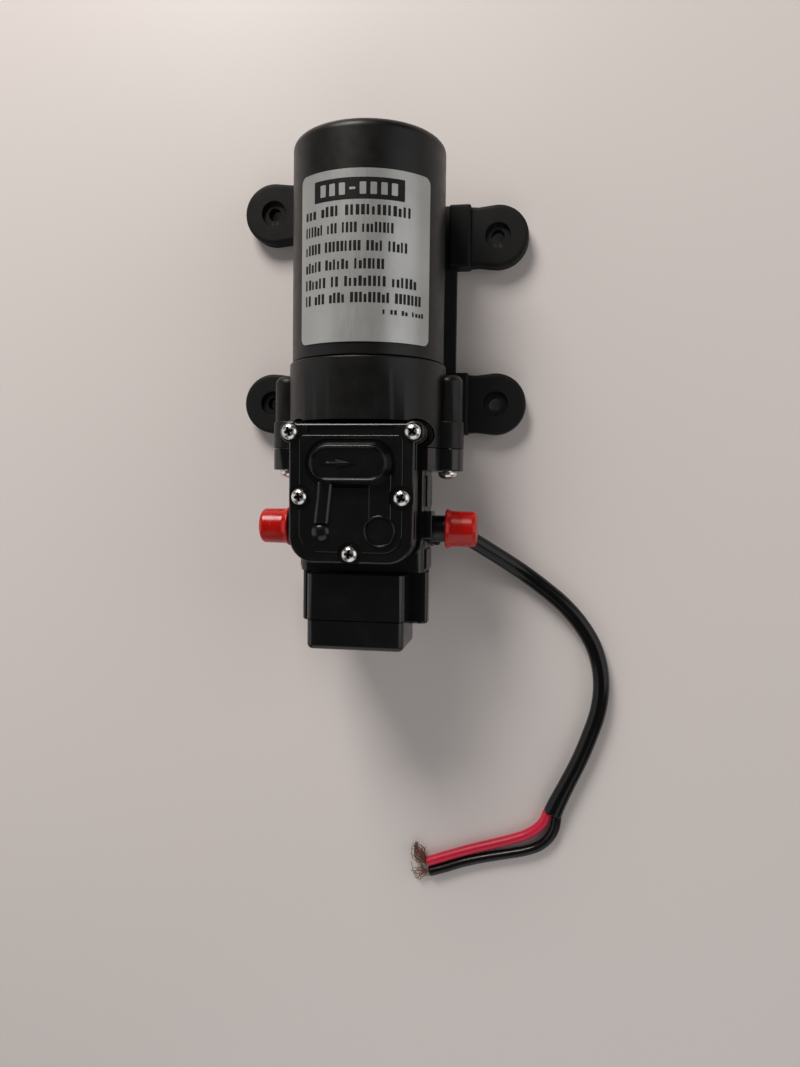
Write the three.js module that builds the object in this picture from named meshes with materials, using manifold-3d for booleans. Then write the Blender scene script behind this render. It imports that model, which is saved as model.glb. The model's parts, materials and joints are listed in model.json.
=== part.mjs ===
// 12 V diaphragm water pump on four rubber feet, with its two-core lead.
// Millimetres. x runs across the pump, y along the motor axis from the pressure
// switch towards the motor, z up from the undersides of the feet.
// Stations along y are measured from the bottom face of the switch cover.
import * as THREE from 'three';
import { mergeVertices } from 'three/addons/utils/BufferGeometryUtils.js';
import Module from 'manifold-3d';

const wasm = await Module();
wasm.setup();

// ---- driving dimensions -------------------------------------------------
const LENGTH = 161; // overall, switch cover to rear bearing boss
const GAP = 0.3; // left between pieces that touch
const AXIS_Z = 30; // height of the motor axis
const CAN_RADIUS = 24.2;
const CAN_WALL = 1.2;
const CAN_REAR = 158.2; // station of the can's rear face
const SEAM_MOTOR = 89.1; // station between motor and drive housing
const SEAM_HEAD = 62.5; // station between drive housing and pump head
const SEAM_SWITCH = 23.4; // station between pump head and switch housing
const HOUSING_RADIUS = 25;
const SHAFT_RADIUS = 1.6;
const CAM_THROW = 0.8; // eccentricity of the cam
const CAM_Y = 52; // station of the cam, the rocker and the two chambers
const PIVOT_Z = 40; // height of the rocker's pin
const CHAMBER_X = 7.8; // half distance between the two chambers
const EAR_X = 26.2; // flange screws, left and right of the axis
const COVER_HALF = 18.9; // half width of the front cover
const COVER_LOW = 27.4;
const COVER_HIGH = 69.1;
const COVER_FACE_Z = 54.8;
const LUG_X = 18.5; // the two upper cover screws
const LUG_Y = 66.5;
const COVER_SCREWS = [[-LUG_X, LUG_Y], [LUG_X, LUG_Y], [-15.4, 47.1], [15.4, 47.1], [0, 30.3]];
const HEAD_HALF = 20;
const HEAD_WAIST_Z = 22; // below it the side walls draw in
const HEAD_FLOOR_Z = 8;
const HEAD_TOP_Z = 39;
const HEAD_RIM_Z = 43.4; // face of the head that the diaphragm lies on
const PORT_Y = 37.2;
const PORT_Z = 28;
const PORT_RADIUS = 4.5;
const CAP_TIP_X = 35.8;
const SWITCH_Z = 37; // height of the switch plunger's axis
const SWITCH_HALF = 15.2;
const BRACKET_HALF = 25.8;
const BRACKET_LOW_Z = 2.6;
const BRACKET_HIGH_Z = 4.6;
const BRACKET_FROM = 70;
const BRACKET_TO = 147.5;
const FOOT_HOLE_X = 39.6;
const FOOT_RADIUS = 10.5;
const LEAD_Y = 35.9; // station where the lead leaves the head
const LEAD_Z = 13.5;
const LEAD_RADIUS = 2.6;
const WIRE_RADIUS = 1.5;
const PAST = 1; // how far a cutting shape runs past the face it cuts

// ---- finishes: colour, roughness, metalness -------------------------------
const FINISHES = {
  satinBlack: [0x1a1918, 0.45, 0.0],
  glossBlack: [0x0d0d0d, 0.22, 0.0],
  rubberBlack: [0x141414, 0.75, 0.0],
  paintedSteel: [0x1b1a1a, 0.5, 0.3],
  zinc: [0xc9c9c5, 0.3, 1.0],
  steel: [0xa9abad, 0.35, 1.0],
  bronze: [0xa8783f, 0.4, 1.0],
  copper: [0xb5693c, 0.35, 1.0],
  ferrite: [0x3a3a3c, 0.7, 0.1],
  carbon: [0x26262a, 0.8, 0.0],
  phenolic: [0x5a3a20, 0.6, 0.0],
  labelSilver: [0xb9b9b6, 0.4, 0.2],
  redVinyl: [0xc81808, 0.3, 0.0],
  redPvc: [0xcc1440, 0.4, 0.0],
  blackPvc: [0x101010, 0.3, 0.0],
  whiteAcetal: [0xe6e4dc, 0.4, 0.0],
  epdm: [0x1c1c1e, 0.8, 0.0],
};

function finish(name) {
  const [color, roughness, metalness] = FINISHES[name];
  return new THREE.MeshStandardMaterial({ color, roughness, metalness });
}

// ---- geometry helpers -------------------------------------------------------
function toSolid(geometry) {
  const bare = geometry.clone();
  bare.deleteAttribute('normal');
  bare.deleteAttribute('uv');
  const merged = mergeVertices(bare, 1e-4);
  const index = merged.index.array;
  const triangles = [];
  for (let i = 0; i < index.length; i += 3) {
    const [a, b, c] = [index[i], index[i + 1], index[i + 2]];
    if (a !== b && b !== c && c !== a) triangles.push(a, b, c);
  }
  return new wasm.Manifold(new wasm.Mesh({
    numProp: 3,
    vertProperties: new Float32Array(merged.attributes.position.array),
    triVerts: new Uint32Array(triangles),
  }));
}

function toGeometry(solid) {
  const mesh = solid.getMesh();
  const geometry = new THREE.BufferGeometry();
  geometry.setAttribute('position', new THREE.BufferAttribute(mesh.vertProperties, 3));
  geometry.setIndex(new THREE.BufferAttribute(mesh.triVerts, 1));
  geometry.computeVertexNormals();
  return geometry;
}

// Joins the added geometries, then cuts the removed ones from the result.
function carve(added, removed = []) {
  let solid = toSolid(added[0]);
  added.slice(1).forEach((piece) => { solid = solid.add(toSolid(piece)); });
  removed.forEach((piece) => { solid = solid.subtract(toSolid(piece)); });
  return toGeometry(solid);
}

// A box between two corners.
function block([x0, y0, z0], [x1, y1, z1]) {
  const box = new THREE.BoxGeometry(x1 - x0, y1 - y0, z1 - z0);
  return box.translate((x0 + x1) / 2, (y0 + y1) / 2, (z0 + z1) / 2);
}

// Cylinders along each axis, from one coordinate to another.
function rodY(radius, y0, y1, x = 0, z = 0, sides = 24) {
  const rod = new THREE.CylinderGeometry(radius, radius, y1 - y0, sides);
  return rod.translate(x, (y0 + y1) / 2, z);
}

function rodX(radius, x0, x1, y = 0, z = 0, sides = 24) {
  const rod = new THREE.CylinderGeometry(radius, radius, x1 - x0, sides);
  return rod.rotateZ(-Math.PI / 2).translate((x0 + x1) / 2, y, z);
}

function rodZ(radius, z0, z1, x = 0, y = 0, sides = 24) {
  const rod = new THREE.CylinderGeometry(radius, radius, z1 - z0, sides);
  return rod.rotateX(Math.PI / 2).translate(x, y, (z0 + z1) / 2);
}

// Turns a list of [radius, height] about the y axis.
function turned(profile, sides) {
  return new THREE.LatheGeometry(profile.map(([r, y]) => new THREE.Vector2(r, y)), sides);
}

// A ring of rectangular section about the y axis.
function ring(inner, outer, y0, y1, sides = 18) {
  return turned([[inner, y0], [outer, y0], [outer, y1], [inner, y1], [inner, y0]], sides);
}

// Points of an arc for a turned profile, angles in degrees.
function arcPoints(r, y, radius, from, to, steps) {
  return Array.from({ length: steps + 1 }, (_, i) => {
    const angle = THREE.MathUtils.degToRad(from + ((to - from) * i) / steps);
    return [r + radius * Math.cos(angle), y + radius * Math.sin(angle)];
  });
}

// An outline drawn in x and z, given length along y.
function prismY(shape, y0, y1, curveSegments = 4) {
  const prism = new THREE.ExtrudeGeometry(shape, { depth: y1 - y0, bevelEnabled: false, curveSegments });
  return prism.rotateX(Math.PI / 2).translate(0, y1, 0);
}

// An outline drawn in x and y, given height along z.
function prismZ(shape, z0, z1, curveSegments = 4) {
  const prism = new THREE.ExtrudeGeometry(shape, { depth: z1 - z0, bevelEnabled: false, curveSegments });
  return prism.translate(0, 0, z0);
}

function roundedRectangle(x0, y0, x1, y1, lowRadius, highRadius = lowRadius) {
  const shape = new THREE.Shape();
  const quarter = Math.PI / 2;
  shape.absarc(x0 + lowRadius, y0 + lowRadius, lowRadius, 2 * quarter, 3 * quarter, false);
  shape.absarc(x1 - lowRadius, y0 + lowRadius, lowRadius, 3 * quarter, 4 * quarter, false);
  shape.absarc(x1 - highRadius, y1 - highRadius, highRadius, 0, quarter, false);
  shape.absarc(x0 + highRadius, y1 - highRadius, highRadius, quarter, 2 * quarter, false);
  return shape;
}

// A slot shape with round ends between two points.
function capsule([x0, y0], [x1, y1], radius) {
  const along = Math.atan2(y1 - y0, x1 - x0);
  const shape = new THREE.Shape();
  shape.absarc(x1, y1, radius, along - Math.PI / 2, along + Math.PI / 2, false);
  shape.absarc(x0, y0, radius, along + Math.PI / 2, along + (3 * Math.PI) / 2, false);
  return shape;
}

// Part of a ring, in x and z, between two angles in degrees measured from +x.
function sector(inner, outer, from, to) {
  const start = THREE.MathUtils.degToRad(from);
  const end = THREE.MathUtils.degToRad(to);
  const shape = new THREE.Shape();
  shape.absarc(0, 0, outer, start, end, false);
  shape.absarc(0, 0, inner, end, start, true);
  return shape;
}

// ---- scene graph -------------------------------------------------------------
const pump = new THREE.Group();
const stations = new THREE.Group();
stations.position.y = -LENGTH / 2;
const motor = new THREE.Group();
motor.position.z = AXIS_Z;
pump.add(stations);
stations.add(motor);

function place(group, name, finishName, geometry, x = 0, y = 0, z = 0) {
  const mesh = new THREE.Mesh(geometry, finish(finishName));
  mesh.name = name;
  mesh.position.set(x, y, z);
  group.add(mesh);
  return mesh;
}

// ---- motor: everything here is drawn about the motor axis ----------------------
const CAN_FRONT = SEAM_MOTOR + GAP;
const BOSS_RADIUS = 6.8;
const BEARING_RADIUS = 5;
const BEARING_BORE = SHAFT_RADIUS + GAP;
const REAR_BEARING_FROM = LENGTH - 6;
const MAGNET_FROM = 107;
const MAGNET_TO = 152;
const CORE_FROM = 111;
const CORE_TO = 148;
const CORE_RADIUS = 17.6;
const POLES = 5;
const COMMUTATOR_RADIUS = 7;
const CAM_RADIUS = 3.4;

function motorCan() {
  const inner = CAN_RADIUS - CAN_WALL;
  const edge = 3;
  const pocket = BEARING_RADIUS + GAP;
  return turned([
    [0, LENGTH - CAN_WALL],
    [pocket, LENGTH - CAN_WALL],
    [pocket, CAN_REAR - CAN_WALL],
    ...arcPoints(inner - edge + CAN_WALL, CAN_REAR - edge, edge - CAN_WALL, 90, 0, 1),
    [inner, CAN_FRONT],
    [CAN_RADIUS, CAN_FRONT],
    ...arcPoints(CAN_RADIUS - edge, CAN_REAR - edge, edge, 0, 90, 3),
    [BOSS_RADIUS, CAN_REAR],
    [BOSS_RADIUS, LENGTH - 0.8],
    [BOSS_RADIUS - 0.8, LENGTH],
    [0, LENGTH],
  ], 36);
}

function magnet(centreAngle) {
  const halfSpan = 68;
  const thickness = 3.4;
  const outer = CAN_RADIUS - CAN_WALL - GAP;
  const shape = sector(outer - thickness, outer, centreAngle - halfSpan, centreAngle + halfSpan);
  return prismY(shape, MAGNET_FROM, MAGNET_TO, 8);
}

// The laminated stack: a hub, a neck and a crown for each pole, grown by a clearance.
function poleStack(clearance, y0, y1) {
  const hub = 6;
  const neckHalf = 2.2;
  const crownHalfAngle = 29;
  const crown = CORE_RADIUS - 3;
  const pieces = [rodY(hub + clearance, y0, y1)];
  for (let i = 0; i < POLES; i += 1) {
    const turn = (i * 360) / POLES;
    const neck = block([0, y0, -neckHalf - clearance], [crown + 1, y1, neckHalf + clearance]);
    pieces.push(neck.rotateY(THREE.MathUtils.degToRad(-turn)));
    const outline = sector(
      crown - clearance, CORE_RADIUS + clearance, turn - crownHalfAngle, turn + crownHalfAngle,
    );
    pieces.push(prismY(outline, y0, y1, 2));
  }
  return pieces;
}

function armatureCore() {
  const bore = rodY(BEARING_BORE, CORE_FROM - PAST, CORE_TO + PAST, 0, 0, 16);
  return carve(poleStack(0, CORE_FROM, CORE_TO), [bore]);
}

// Copper that fills the slots and bulges past both ends of the stack.
function armatureWindings() {
  const overhang = 5;
  const from = CORE_FROM - overhang;
  const to = CORE_TO + overhang;
  const copper = rodY(CORE_RADIUS - 4, from, to, 0, 0, 30);
  const stack = poleStack(GAP, CORE_FROM - GAP, CORE_TO + GAP);
  const bore = rodY(BEARING_BORE, from - PAST, to + PAST, 0, 0, 16);
  return carve([copper], [...stack, bore]);
}

// Carbon block from just off the commutator outwards.
const BRUSH_FROM = 97;
const BRUSH_TO = 103;
const BRUSH_HALF = 2;
const BRUSH_LENGTH = 4.6;
function brush(side) {
  const inner = COMMUTATOR_RADIUS + 0.4;
  const centre = side * (inner + BRUSH_LENGTH / 2);
  return block(
    [centre - BRUSH_LENGTH / 2, BRUSH_FROM, -BRUSH_HALF],
    [centre + BRUSH_LENGTH / 2, BRUSH_TO, BRUSH_HALF],
  );
}

// Insulating plate across the can with a holder behind each brush.
const BRUSH_PLATE_Y = 93.6;
function brushPlate() {
  const thickness = 2;
  const holderX = 15;
  const holderHalf = [2.6, 3.4];
  const plate = ring(9.5, 22.6, BRUSH_PLATE_Y, BRUSH_PLATE_Y + thickness, 24);
  const holders = [-1, 1].map((side) => {
    const centre = side * holderX;
    return block(
      [centre - holderHalf[0], BRUSH_PLATE_Y + 1.8, -holderHalf[1]],
      [centre + holderHalf[0], BRUSH_TO, holderHalf[1]],
    );
  });
  return carve([plate, ...holders]);
}

// Closes the front of the can and carries the front bearing.
const END_PLATE_Y = 90;
function motorEndPlate() {
  const opening = 3;
  const hub = 8;
  const hubTop = END_PLATE_Y + 6.5;
  const floor = END_PLATE_Y + 1.4;
  const plateTop = END_PLATE_Y + 2.4;
  const pocket = BEARING_RADIUS + GAP;
  const rim = CAN_RADIUS - CAN_WALL - GAP;
  return turned([
    [opening, END_PLATE_Y], [hub, END_PLATE_Y], [rim, END_PLATE_Y], [rim, plateTop],
    [hub, plateTop], [hub, hubTop], [pocket, hubTop], [pocket, floor],
    [opening, floor], [opening, END_PLATE_Y],
  ], 28);
}

// The shaft carries a cam at its free end, one solid with it.
function motorShaft() {
  const shaft = rodY(SHAFT_RADIUS, CAM_Y + 4, LENGTH - CAN_WALL - 1, 0, 0, 16);
  const cam = rodY(CAM_RADIUS, CAM_Y - 4, CAM_Y + 4.2, CAM_THROW, 0, 20);
  return carve([shaft, cam]);
}

function camBearing() {
  const bearing = ring(CAM_RADIUS + GAP, 6, CAM_Y - 3, CAM_Y + 3, 24);
  return bearing.translate(CAM_THROW, 0, 0);
}

// Label round the upper left of the can, angles from +x.
const LABEL_INNER = CAN_RADIUS + 0.2;
const LABEL_OUTER = LABEL_INNER + 0.2;
const LABEL_FROM_ANGLE = 31;
const LABEL_TO_ANGLE = 134.5;
const LABEL_FROM = 93;
const LABEL_TO = 142.9;

function ratingLabel() {
  const outline = sector(LABEL_INNER, LABEL_OUTER, LABEL_FROM_ANGLE, LABEL_TO_ANGLE);
  return prismY(outline, LABEL_FROM, LABEL_TO, 10);
}

place(motor, 'motor_can', 'satinBlack', motorCan());
place(motor, 'rear_bearing', 'bronze',
  ring(BEARING_BORE, BEARING_RADIUS, REAR_BEARING_FROM, LENGTH - CAN_WALL - GAP));
place(motor, 'magnet_left', 'ferrite', magnet(180));
place(motor, 'magnet_right', 'ferrite', magnet(0));
place(motor, 'armature_core', 'steel', armatureCore());
place(motor, 'armature_windings', 'copper', armatureWindings());
place(motor, 'commutator', 'copper', ring(BEARING_BORE, COMMUTATOR_RADIUS, 97.5, 105.5, 24));
place(motor, 'motor_shaft', 'steel', motorShaft());
place(motor, 'brush_plate', 'phenolic', brushPlate());
place(motor, 'brush_left', 'carbon', brush(-1));
place(motor, 'brush_right', 'carbon', brush(1));
place(motor, 'front_bearing', 'bronze', ring(BEARING_BORE, BEARING_RADIUS, 91.8, 96.2));
place(motor, 'motor_end_plate', 'zinc', motorEndPlate());
place(motor, 'cam_bearing', 'steel', camBearing());
place(motor, 'rating_label', 'labelSilver', ratingLabel());

// ---- drive housing and its two flange screws ------------------------------------
const BOSS_TOP = 86;
const EAR_RADIUS = 5;
const EAR_TOP = 71.4;
const FLANGE_LOW = 55.7; // underside of the pump head's flange
const FLANGE_HOLE = 1.9;
const SCREW_LENGTH = 20;

// A disc with an ear on each side, in x and z about the motor axis.
function earedDisc(radius) {
  const disc = rodY(radius, 0, 1, 0, 0, 40);
  const ears = [-1, 1].map((side) => {
    const outline = capsule([0, 0], [side * EAR_X, 0], EAR_RADIUS);
    return prismY(outline, 0, 1, 4);
  });
  return [disc, ...ears];
}

// The eared disc stretched between two stations.
function flange(radius, y0, y1) {
  return earedDisc(radius).map((piece) => piece.scale(1, y1 - y0, 1).translate(0, y0, 0));
}

// A screw boss: a tall post with a rounded top.
function boss(side) {
  const post = turned([
    [0, SEAM_HEAD + GAP],
    [EAR_RADIUS - 0.5, SEAM_HEAD + GAP],
    ...arcPoints(EAR_RADIUS - 3, BOSS_TOP - 2.5, 2.5, 0, 90, 4),
    [0, BOSS_TOP],
  ], 16);
  return post.translate(side * EAR_X, 0, 0);
}

// Open at the top front, where the diaphragm stack reaches into it.
function driveHousing() {
  const bottom = SEAM_HEAD + GAP;
  const wellFloor = 77;
  const notchHalf = 23.4;
  const notchLow = HEAD_TOP_Z - AXIS_Z - 3.3;
  const notchTo = 70.9;
  const tube = rodY(HOUSING_RADIUS, bottom, SEAM_MOTOR, 0, 0, 40);
  const shaftWay = rodY(4.6, bottom - PAST, wellFloor + PAST, 0, 0, 24);
  const well = rodY(21.5, wellFloor, SEAM_MOTOR + PAST, 0, 0, 24);
  const notch = block([-notchHalf, bottom - PAST, notchLow], [notchHalf, notchTo, 30]);
  const holes = [-EAR_X, EAR_X].map((x) => rodY(FLANGE_HOLE, bottom - PAST, BOSS_TOP - 5, x, 0, 8));
  return carve(
    [tube, ...flange(HOUSING_RADIUS, bottom, EAR_TOP), boss(-1), boss(1)],
    [shaftWay, well, notch, ...holes],
  );
}

// Washer-headed screw pointing up the y axis, seat at its origin.
function flangeScrew() {
  const shank = 1.5;
  return turned([
    [0, -2.4], [1.6, -2.4], [2.5, -1.9], [3, -0.9], [3, 0],
    [shank, 0], [shank, SCREW_LENGTH], [0, SCREW_LENGTH],
  ], 12);
}

place(motor, 'drive_housing', 'satinBlack', driveHousing());
place(motor, 'flange_screw_left', 'zinc', flangeScrew(), -EAR_X, FLANGE_LOW - GAP, 0);
place(motor, 'flange_screw_right', 'zinc', flangeScrew(), EAR_X, FLANGE_LOW - GAP, 0);

// ---- base bracket and feet ---------------------------------------------------------
// A flat plate with a saddle that fits the can's underside.
function baseBracket() {
  const saddleHalf = 17;
  const saddleTop = 10;
  const plate = block(
    [-BRACKET_HALF, BRACKET_FROM, BRACKET_LOW_Z],
    [BRACKET_HALF, BRACKET_TO, BRACKET_HIGH_Z],
  );
  const saddle = block([-saddleHalf, 92, BRACKET_HIGH_Z - 0.5], [saddleHalf, 146, saddleTop]);
  const can = rodY(CAN_RADIUS + 0.4, BRACKET_FROM - PAST, BRACKET_TO + PAST, 0, AXIS_Z, 48);
  return carve([plate, saddle], [can]);
}

const FOOT_HEIGHT = 6;
const FOOT_JAW_X = 23;
const FOOT_JAW_TO = 30.5;
const FOOT_JAW_Z = 7.6;
const FOOT_BORE = 2.3;
const FOOT_SINK = 4.2;
const FOOT_SINK_DEPTH = 1.6;

// Right-hand foot about its own hole: an ear to screw down and a slotted jaw
// that grips the bracket's edge.
function foot() {
  const ear = new THREE.Shape();
  const root = FOOT_JAW_X - FOOT_HOLE_X;
  ear.absarc(0, 0, FOOT_RADIUS, -Math.PI / 2, Math.PI / 2, false);
  ear.lineTo(root, FOOT_RADIUS);
  ear.lineTo(root, -FOOT_RADIUS);
  const jaw = block([root, -FOOT_RADIUS, 0], [FOOT_JAW_TO - FOOT_HOLE_X, FOOT_RADIUS, FOOT_JAW_Z]);
  const slot = block(
    [root - PAST, -FOOT_RADIUS - PAST, BRACKET_LOW_Z - GAP],
    [BRACKET_HALF + GAP - FOOT_HOLE_X, FOOT_RADIUS + PAST, BRACKET_HIGH_Z + GAP],
  );
  const bore = rodZ(FOOT_BORE, -PAST, FOOT_HEIGHT + PAST, 0, 0, 10);
  const sink = rodZ(FOOT_SINK, FOOT_HEIGHT - FOOT_SINK_DEPTH, FOOT_HEIGHT + PAST, 0, 0, 14);
  return carve([prismZ(ear, 0, FOOT_HEIGHT, 6), jaw], [slot, bore, sink]);
}

place(stations, 'base_bracket', 'paintedSteel', baseBracket());
const FEET = [
  ['foot_upper_left', -1, 147],
  ['foot_upper_right', 1, 136.6],
  ['foot_lower_left', -1, 80],
  ['foot_lower_right', 1, 79.6],
];
FEET.forEach(([name, side, y]) => {
  const mesh = place(stations, name, 'rubberBlack', foot(), side * FOOT_HOLE_X, y, 0);
  mesh.rotation.z = side > 0 ? 0 : Math.PI;
});

// ---- rocker, pistons and diaphragm --------------------------------------------------
const ROCKER_LOW = CAM_Y - 4;
const ROCKER_HIGH = CAM_Y + 4;
const PAD_RADIUS = 4.6;
const PIN_RADIUS = 1.2;
const PIN_HOLE = PIN_RADIUS + GAP;
const PIN_FROM = 43.4;
const PIN_TO = 61.6;
const PISTON_HOLE = 1.4;
const CHAMBERS = [-CHAMBER_X, CHAMBER_X];
const DIAPHRAGM_LOW = HEAD_RIM_Z + GAP;
const DIAPHRAGM_HIGH = DIAPHRAGM_LOW + 1;
const VALVE_LOW = DIAPHRAGM_HIGH + GAP;
const VALVE_HIGH = VALVE_LOW + 4.6;
const GASKET_LOW = VALVE_HIGH + GAP;
const GASKET_HIGH = GASKET_LOW + 0.6;
const COVER_BACK_Z = GASKET_HIGH + GAP;
const PISTON_HEIGHT = 1;

// A bar over the cam with two legs round the bearing and a pad under each chamber.
function rocker() {
  const barHalf = 12.2;
  const bar = block([-barHalf, ROCKER_LOW, PIVOT_Z - 1.9], [barHalf, ROCKER_HIGH, PIVOT_Z + 2.2]);
  const legs = [-1, 1].map((side) => {
    const inner = side * 8.4;
    const outer = side * 10.6;
    return block(
      [Math.min(inner, outer), ROCKER_LOW, PIVOT_Z - 14],
      [Math.max(inner, outer), ROCKER_HIGH, PIVOT_Z - 1],
    );
  });
  const pads = CHAMBERS.map((x) => rodZ(PAD_RADIUS, PIVOT_Z + 1, HEAD_RIM_Z, x, CAM_Y, 20));
  const screwHoles = CHAMBERS.map((x) => {
    return rodZ(PISTON_HOLE, PIVOT_Z - 0.6, HEAD_RIM_Z + PAST, x, CAM_Y, 12);
  });
  const pinHole = rodY(PIN_HOLE, ROCKER_LOW - PAST, ROCKER_HIGH + PAST, 0, PIVOT_Z, 16);
  return carve([bar, ...legs, ...pads], [pinHole, ...screwHoles]);
}

function piston() {
  return ring(PISTON_HOLE, PAD_RADIUS, 0, PISTON_HEIGHT, 20).rotateX(Math.PI / 2);
}

// Small pan-head screw pointing down z, seat at its origin.
function pistonScrew() {
  const depth = 4.4;
  const profile = [[0, -depth], [1, -depth], [1, 0], [2, 0], [2, 0.4], [1.4, 0.8], [0, 0.8]];
  return turned(profile, 10).rotateX(Math.PI / 2);
}

function stackOutline(grow, lugRadius) {
  const outline = roundedRectangle(
    -COVER_HALF - grow, COVER_LOW - grow, COVER_HALF + grow, COVER_HIGH + grow, 8 + grow, 2,
  );
  const lugs = [-LUG_X, LUG_X].map((x) => {
    const shape = new THREE.Shape();
    shape.absarc(x, LUG_Y, lugRadius, 0, 2 * Math.PI, false);
    return shape;
  });
  return [outline, ...lugs];
}

function stackLayer(z0, z1, grow = 0, lugRadius = 3.3) {
  return stackOutline(grow, lugRadius).map((shape) => prismZ(shape, z0, z1, 2));
}

function coverScrewHoles(z0, z1, radius = 1.8) {
  return COVER_SCREWS.map(([x, y]) => rodZ(radius, z0, z1, x, y, 8));
}

// Vertical flow channels from the two ports up through the stack.
const CHANNEL_X = 9.5;
const CHANNEL_RADIUS = 1.9;
function flowChannels(z0, z1) {
  return [-CHANNEL_X, CHANNEL_X].map((x) => rodZ(CHANNEL_RADIUS, z0, z1, x, PORT_Y, 8));
}

// Cuts through one layer of the stack run between these two heights.
const THROUGH = [40, 60];

function diaphragm() {
  const holes = CHAMBERS.map((x) => rodZ(PISTON_HOLE, ...THROUGH, x, CAM_Y, 12));
  return carve(
    stackLayer(DIAPHRAGM_LOW, DIAPHRAGM_HIGH, -0.6, 2.9),
    [...coverScrewHoles(...THROUGH), ...flowChannels(...THROUGH), ...holes],
  );
}

// Two pumping chambers below, a stem hole for each inlet valve, and between them the
// outlet valve's stem hole with a flow hole from each chamber.
const CHAMBER_RADIUS = 6;
const CHAMBER_ROOF_Z = VALVE_LOW + 3.5;
const INLET_OFFSET = -4;
const OUTLET_OFFSET = 2.9;
const OUTLET_X = 3.6;
const STEM_HOLE = 0.9;
function valvePlate() {
  const chambers = CHAMBERS.map((x) => {
    return rodZ(CHAMBER_RADIUS, THROUGH[0], CHAMBER_ROOF_Z, x, CAM_Y, 24);
  });
  const inletStems = CHAMBERS.map((x) => rodZ(STEM_HOLE, ...THROUGH, x, CAM_Y + INLET_OFFSET, 10));
  const outletHoles = [-OUTLET_X, 0, OUTLET_X].map((x) => {
    return rodZ(STEM_HOLE, ...THROUGH, x, CAM_Y + OUTLET_OFFSET, 10);
  });
  return carve(
    stackLayer(VALVE_LOW, VALVE_HIGH),
    [
      ...coverScrewHoles(...THROUGH), ...flowChannels(...THROUGH),
      ...chambers, ...inletStems, ...outletHoles,
    ],
  );
}

// Umbrella valve: a thin cap on a stem, stem down z.
function umbrellaValve(radius) {
  const stem = 0.55;
  const depth = 2.2;
  return turned([
    [0, -depth], [stem, -depth], [stem, 0], [radius, 0], [radius, 0.35], [0.8, 0.8], [0, 0.8],
  ], 12).rotateX(Math.PI / 2);
}

// Cut out over the valves and over the two galleries from the ports.
function coverGasket() {
  const windowHalf = 13.6;
  const window = roundedRectangle(-windowHalf, 46, windowHalf, 62.5, 3);
  const galleries = [-CHANNEL_X, CHANNEL_X].map((x) => capsule([x, PORT_Y], [x, 50], 2.4));
  const cuts = [window, ...galleries].map((shape) => prismZ(shape, ...THROUGH));
  return carve(stackLayer(GASKET_LOW, GASKET_HIGH), [...coverScrewHoles(...THROUGH), ...cuts]);
}

// ---- front cover ----------------------------------------------------------------------
const STADIUM_Y = 57.2;
const STADIUM_HALF = 11;
const STADIUM_RADIUS = 4.7;
const STADIUM_RISE = 4.4;
const RIDGE_X = -9.3;
const RIDGE_FROM = 36.4;
const RIDGE_TO = 52;
const RIDGE_RADIUS = 2.1;
const DISC_X = 9;
const DISC_Y = 37.3;
const DISC_RADIUS = 4.7;
const COVER_EDGE = 0.9; // bevel round the plate

function stadiumDome() {
  const span = STADIUM_HALF - STADIUM_RADIUS;
  const outline = capsule([-span, STADIUM_Y], [span, STADIUM_Y], STADIUM_RADIUS);
  const dome = new THREE.ExtrudeGeometry(outline, {
    depth: 0.2,
    bevelThickness: STADIUM_RISE,
    bevelSize: 1.9,
    bevelSegments: 3,
    curveSegments: 5,
  });
  return dome.translate(0, 0, COVER_FACE_Z - 0.2);
}

function coverPlate() {
  return stackOutline(-COVER_EDGE, 2.4).map((shape) => {
    const layer = new THREE.ExtrudeGeometry(shape, {
      depth: COVER_FACE_Z - COVER_BACK_Z - 2 * COVER_EDGE,
      bevelThickness: COVER_EDGE,
      bevelSize: COVER_EDGE,
      bevelSegments: 1,
      curveSegments: 4,
    });
    return layer.translate(0, 0, COVER_BACK_Z + COVER_EDGE);
  });
}

// A plate with the valve dome across it and, below the dome, a ridge on the inlet side
// and a channel that ends in a dished disc on the outlet side.
function frontCover() {
  const under = COVER_FACE_Z - 1;
  const ridgeLine = capsule([RIDGE_X, RIDGE_FROM], [RIDGE_X, RIDGE_TO], RIDGE_RADIUS);
  const ridge = prismZ(ridgeLine, under, COVER_FACE_Z + 1.8);
  const ridgeEnd = new THREE.SphereGeometry(2.6, 12, 8).translate(RIDGE_X, RIDGE_FROM, COVER_FACE_Z);
  const channelHalf = 3.2;
  const channel = block(
    [DISC_X - channelHalf, DISC_Y, under],
    [DISC_X + channelHalf, 54, COVER_FACE_Z + 0.6],
  );
  const disc = rodZ(DISC_RADIUS, under, COVER_FACE_Z + 1.1, DISC_X, DISC_Y, 28);
  const recess = rodZ(DISC_RADIUS - 0.8, COVER_FACE_Z + 0.5, COVER_FACE_Z + 3, DISC_X, DISC_Y, 28);
  const stepHalf = 13;
  const topStep = block(
    [-stepHalf, COVER_HIGH - 2.6, COVER_FACE_Z - 1.3],
    [stepHalf, COVER_HIGH + PAST, COVER_FACE_Z + PAST],
  );
  const galleryY = CAM_Y + OUTLET_OFFSET;
  const galleryLine = capsule([-7, galleryY], [7, galleryY], 5.3);
  const gallery = prismZ(galleryLine, COVER_BACK_Z - PAST, COVER_BACK_Z + 1.6);
  const underside = block([-30, 20, THROUGH[0]], [30, 80, COVER_BACK_Z]);
  return carve(
    [...coverPlate(), stadiumDome(), ridge, ridgeEnd, channel, disc],
    [underside, recess, topStep, gallery, ...coverScrewHoles(THROUGH[0], 70)],
  );
}

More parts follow.
